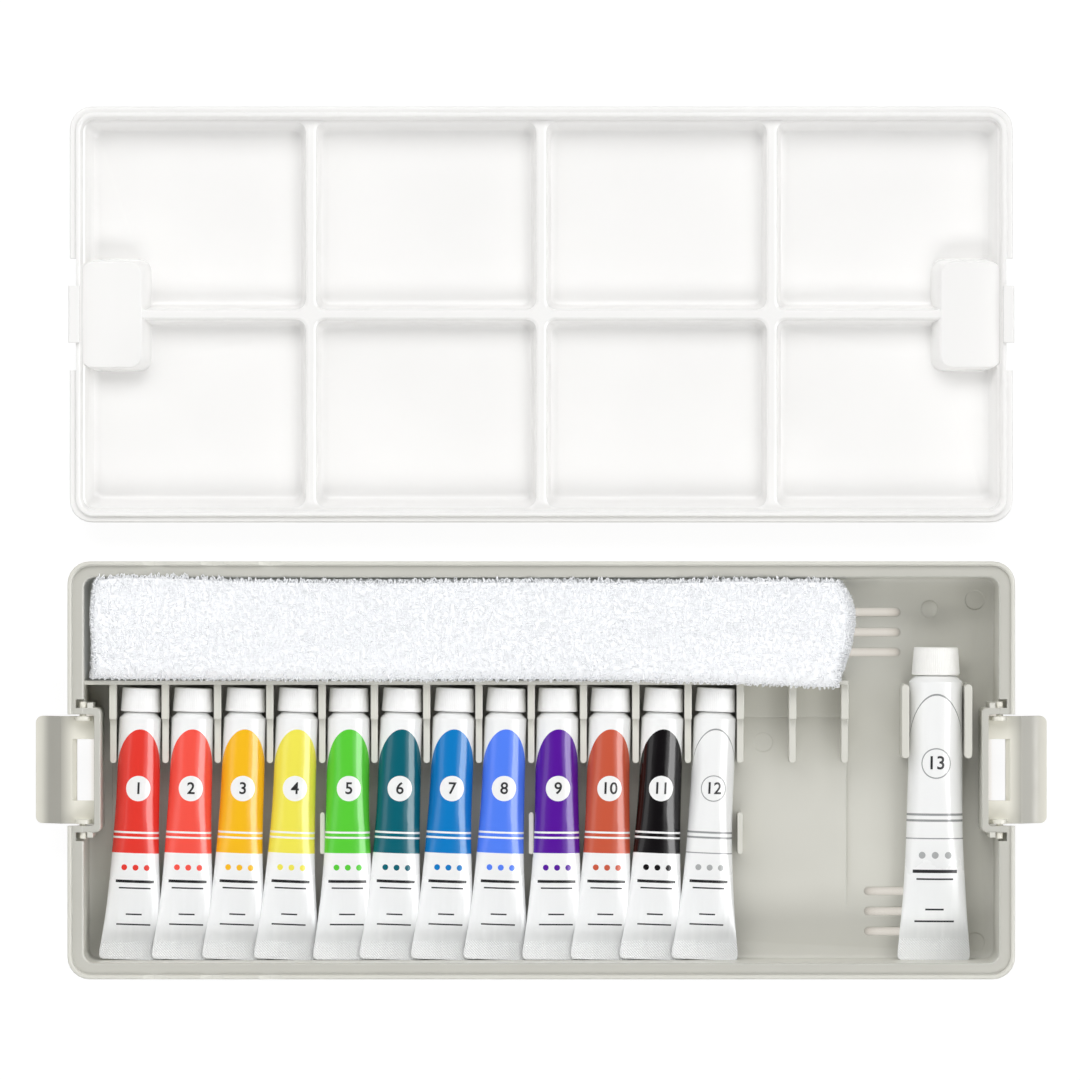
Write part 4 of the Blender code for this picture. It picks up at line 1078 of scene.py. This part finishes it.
# Painted shade and bounce: close under the box, as in its vents, the glow is darkened and warmed as by
# light off warm plastic.
near_box = tree.nodes.new("ShaderNodeAmbientOcclusion")
near_box.samples = 8
near_box.inputs["Distance"].default_value = shade_reach
lit = number(tree, "MINIMUM", number(tree, "ADD", near_box.outputs["AO"], shade_least), glow_most)
seen = number(tree, "MAXIMUM", seen, table_glow_share)
tree.links.new(number(tree, "MULTIPLY", seen, lit), shader.inputs["Emission Strength"])
painted_bounce_share = rescale(tree, near_box.outputs["AO"], warm_until)
tree.links.new(blend(tree, painted_bounce_share, painted_warm_bounce, (1, 1, 1)), shader.inputs["Emission Color"])
table.data.materials.append(table_paper)


# Light. A white tent, dark only where the camera looks in at its top, with long soft boxes in
# front and behind, weaker ones on the right and the left, and a card on the right that lights
# nothing but mirrors as the streak along the tubes.
world = bpy.context.scene.world or bpy.data.worlds.new("tent")
bpy.context.scene.world = world
world.use_nodes = True
tree = world.node_tree
# How light the tent is, from straight below to straight above.
tent_stops = [(0.0, 0.9), (0.03, 0.6), (0.1, 0.28), (0.4, 0.3), (0.6, 0.34), (0.8, 0.3), (0.95, 0.06),
              (1.0, 0.05)]
way = tree.nodes.new("ShaderNodeTexCoord")
apart = tree.nodes.new("ShaderNodeSeparateXYZ")
tree.links.new(way.outputs["Generated"], apart.inputs[0])
tent = tree.nodes.new("ShaderNodeValToRGB")
tree.links.new(apart.outputs["Z"], tent.inputs["Fac"])
set_stops(tent.color_ramp, tent_stops)
tree.links.new(tent.outputs["Color"], tree.nodes["Background"].inputs["Color"])
tree.nodes["Background"].inputs["Strength"].default_value = 1.0


def soft_box(name, place, size, power, lights=True, mirrors=True):
    """A lamp of a width and a length, aimed at the set, which lights it, mirrors in it or does both."""
    lamp = bpy.data.lights.new(name, "AREA")
    lamp.shape = "RECTANGLE"
    lamp.size, lamp.size_y = size
    lamp.energy = power
    holder = put_in_scene(name, lamp)
    holder.location = place
    holder.visible_diffuse = lights
    holder.visible_glossy = mirrors
    holder.rotation_euler = (-Vector(place)).to_track_quat("-Z", "Y").to_euler()


soft_box("soft_box_right", (1.33, 0.3, 1.8), (2.0, 1.1), 9)
soft_box("soft_box_left", (-1.75, 0.2, 1.2), (2.4, 1.0), 7)
soft_box("soft_box_back", (-0.2, 1.5, 1.7), (2.6, 1.1), 29)
soft_box("soft_box_front", (0.2, -1.6, 1.7), (2.4, 0.8), 22, mirrors=False)
soft_box("card_right", (1.75, 0.0, 0.98), (2.6, 1.25), 68, lights=False)


# Camera. Straight down with a long lens from over three metres, as the photograph was taken, so
# that the walls hardly lean.
camera_data = bpy.data.cameras.new("camera")
camera_data.sensor_width = 36
camera_data.lens = 277
camera_data.clip_start = 0.05
camera_data.clip_end = 20
camera = put_in_scene("camera", camera_data)
camera.location = (-0.0005, 0.0007, 3.23)
bpy.context.scene.camera = camera
bpy.context.scene.view_settings.view_transform = "Standard"
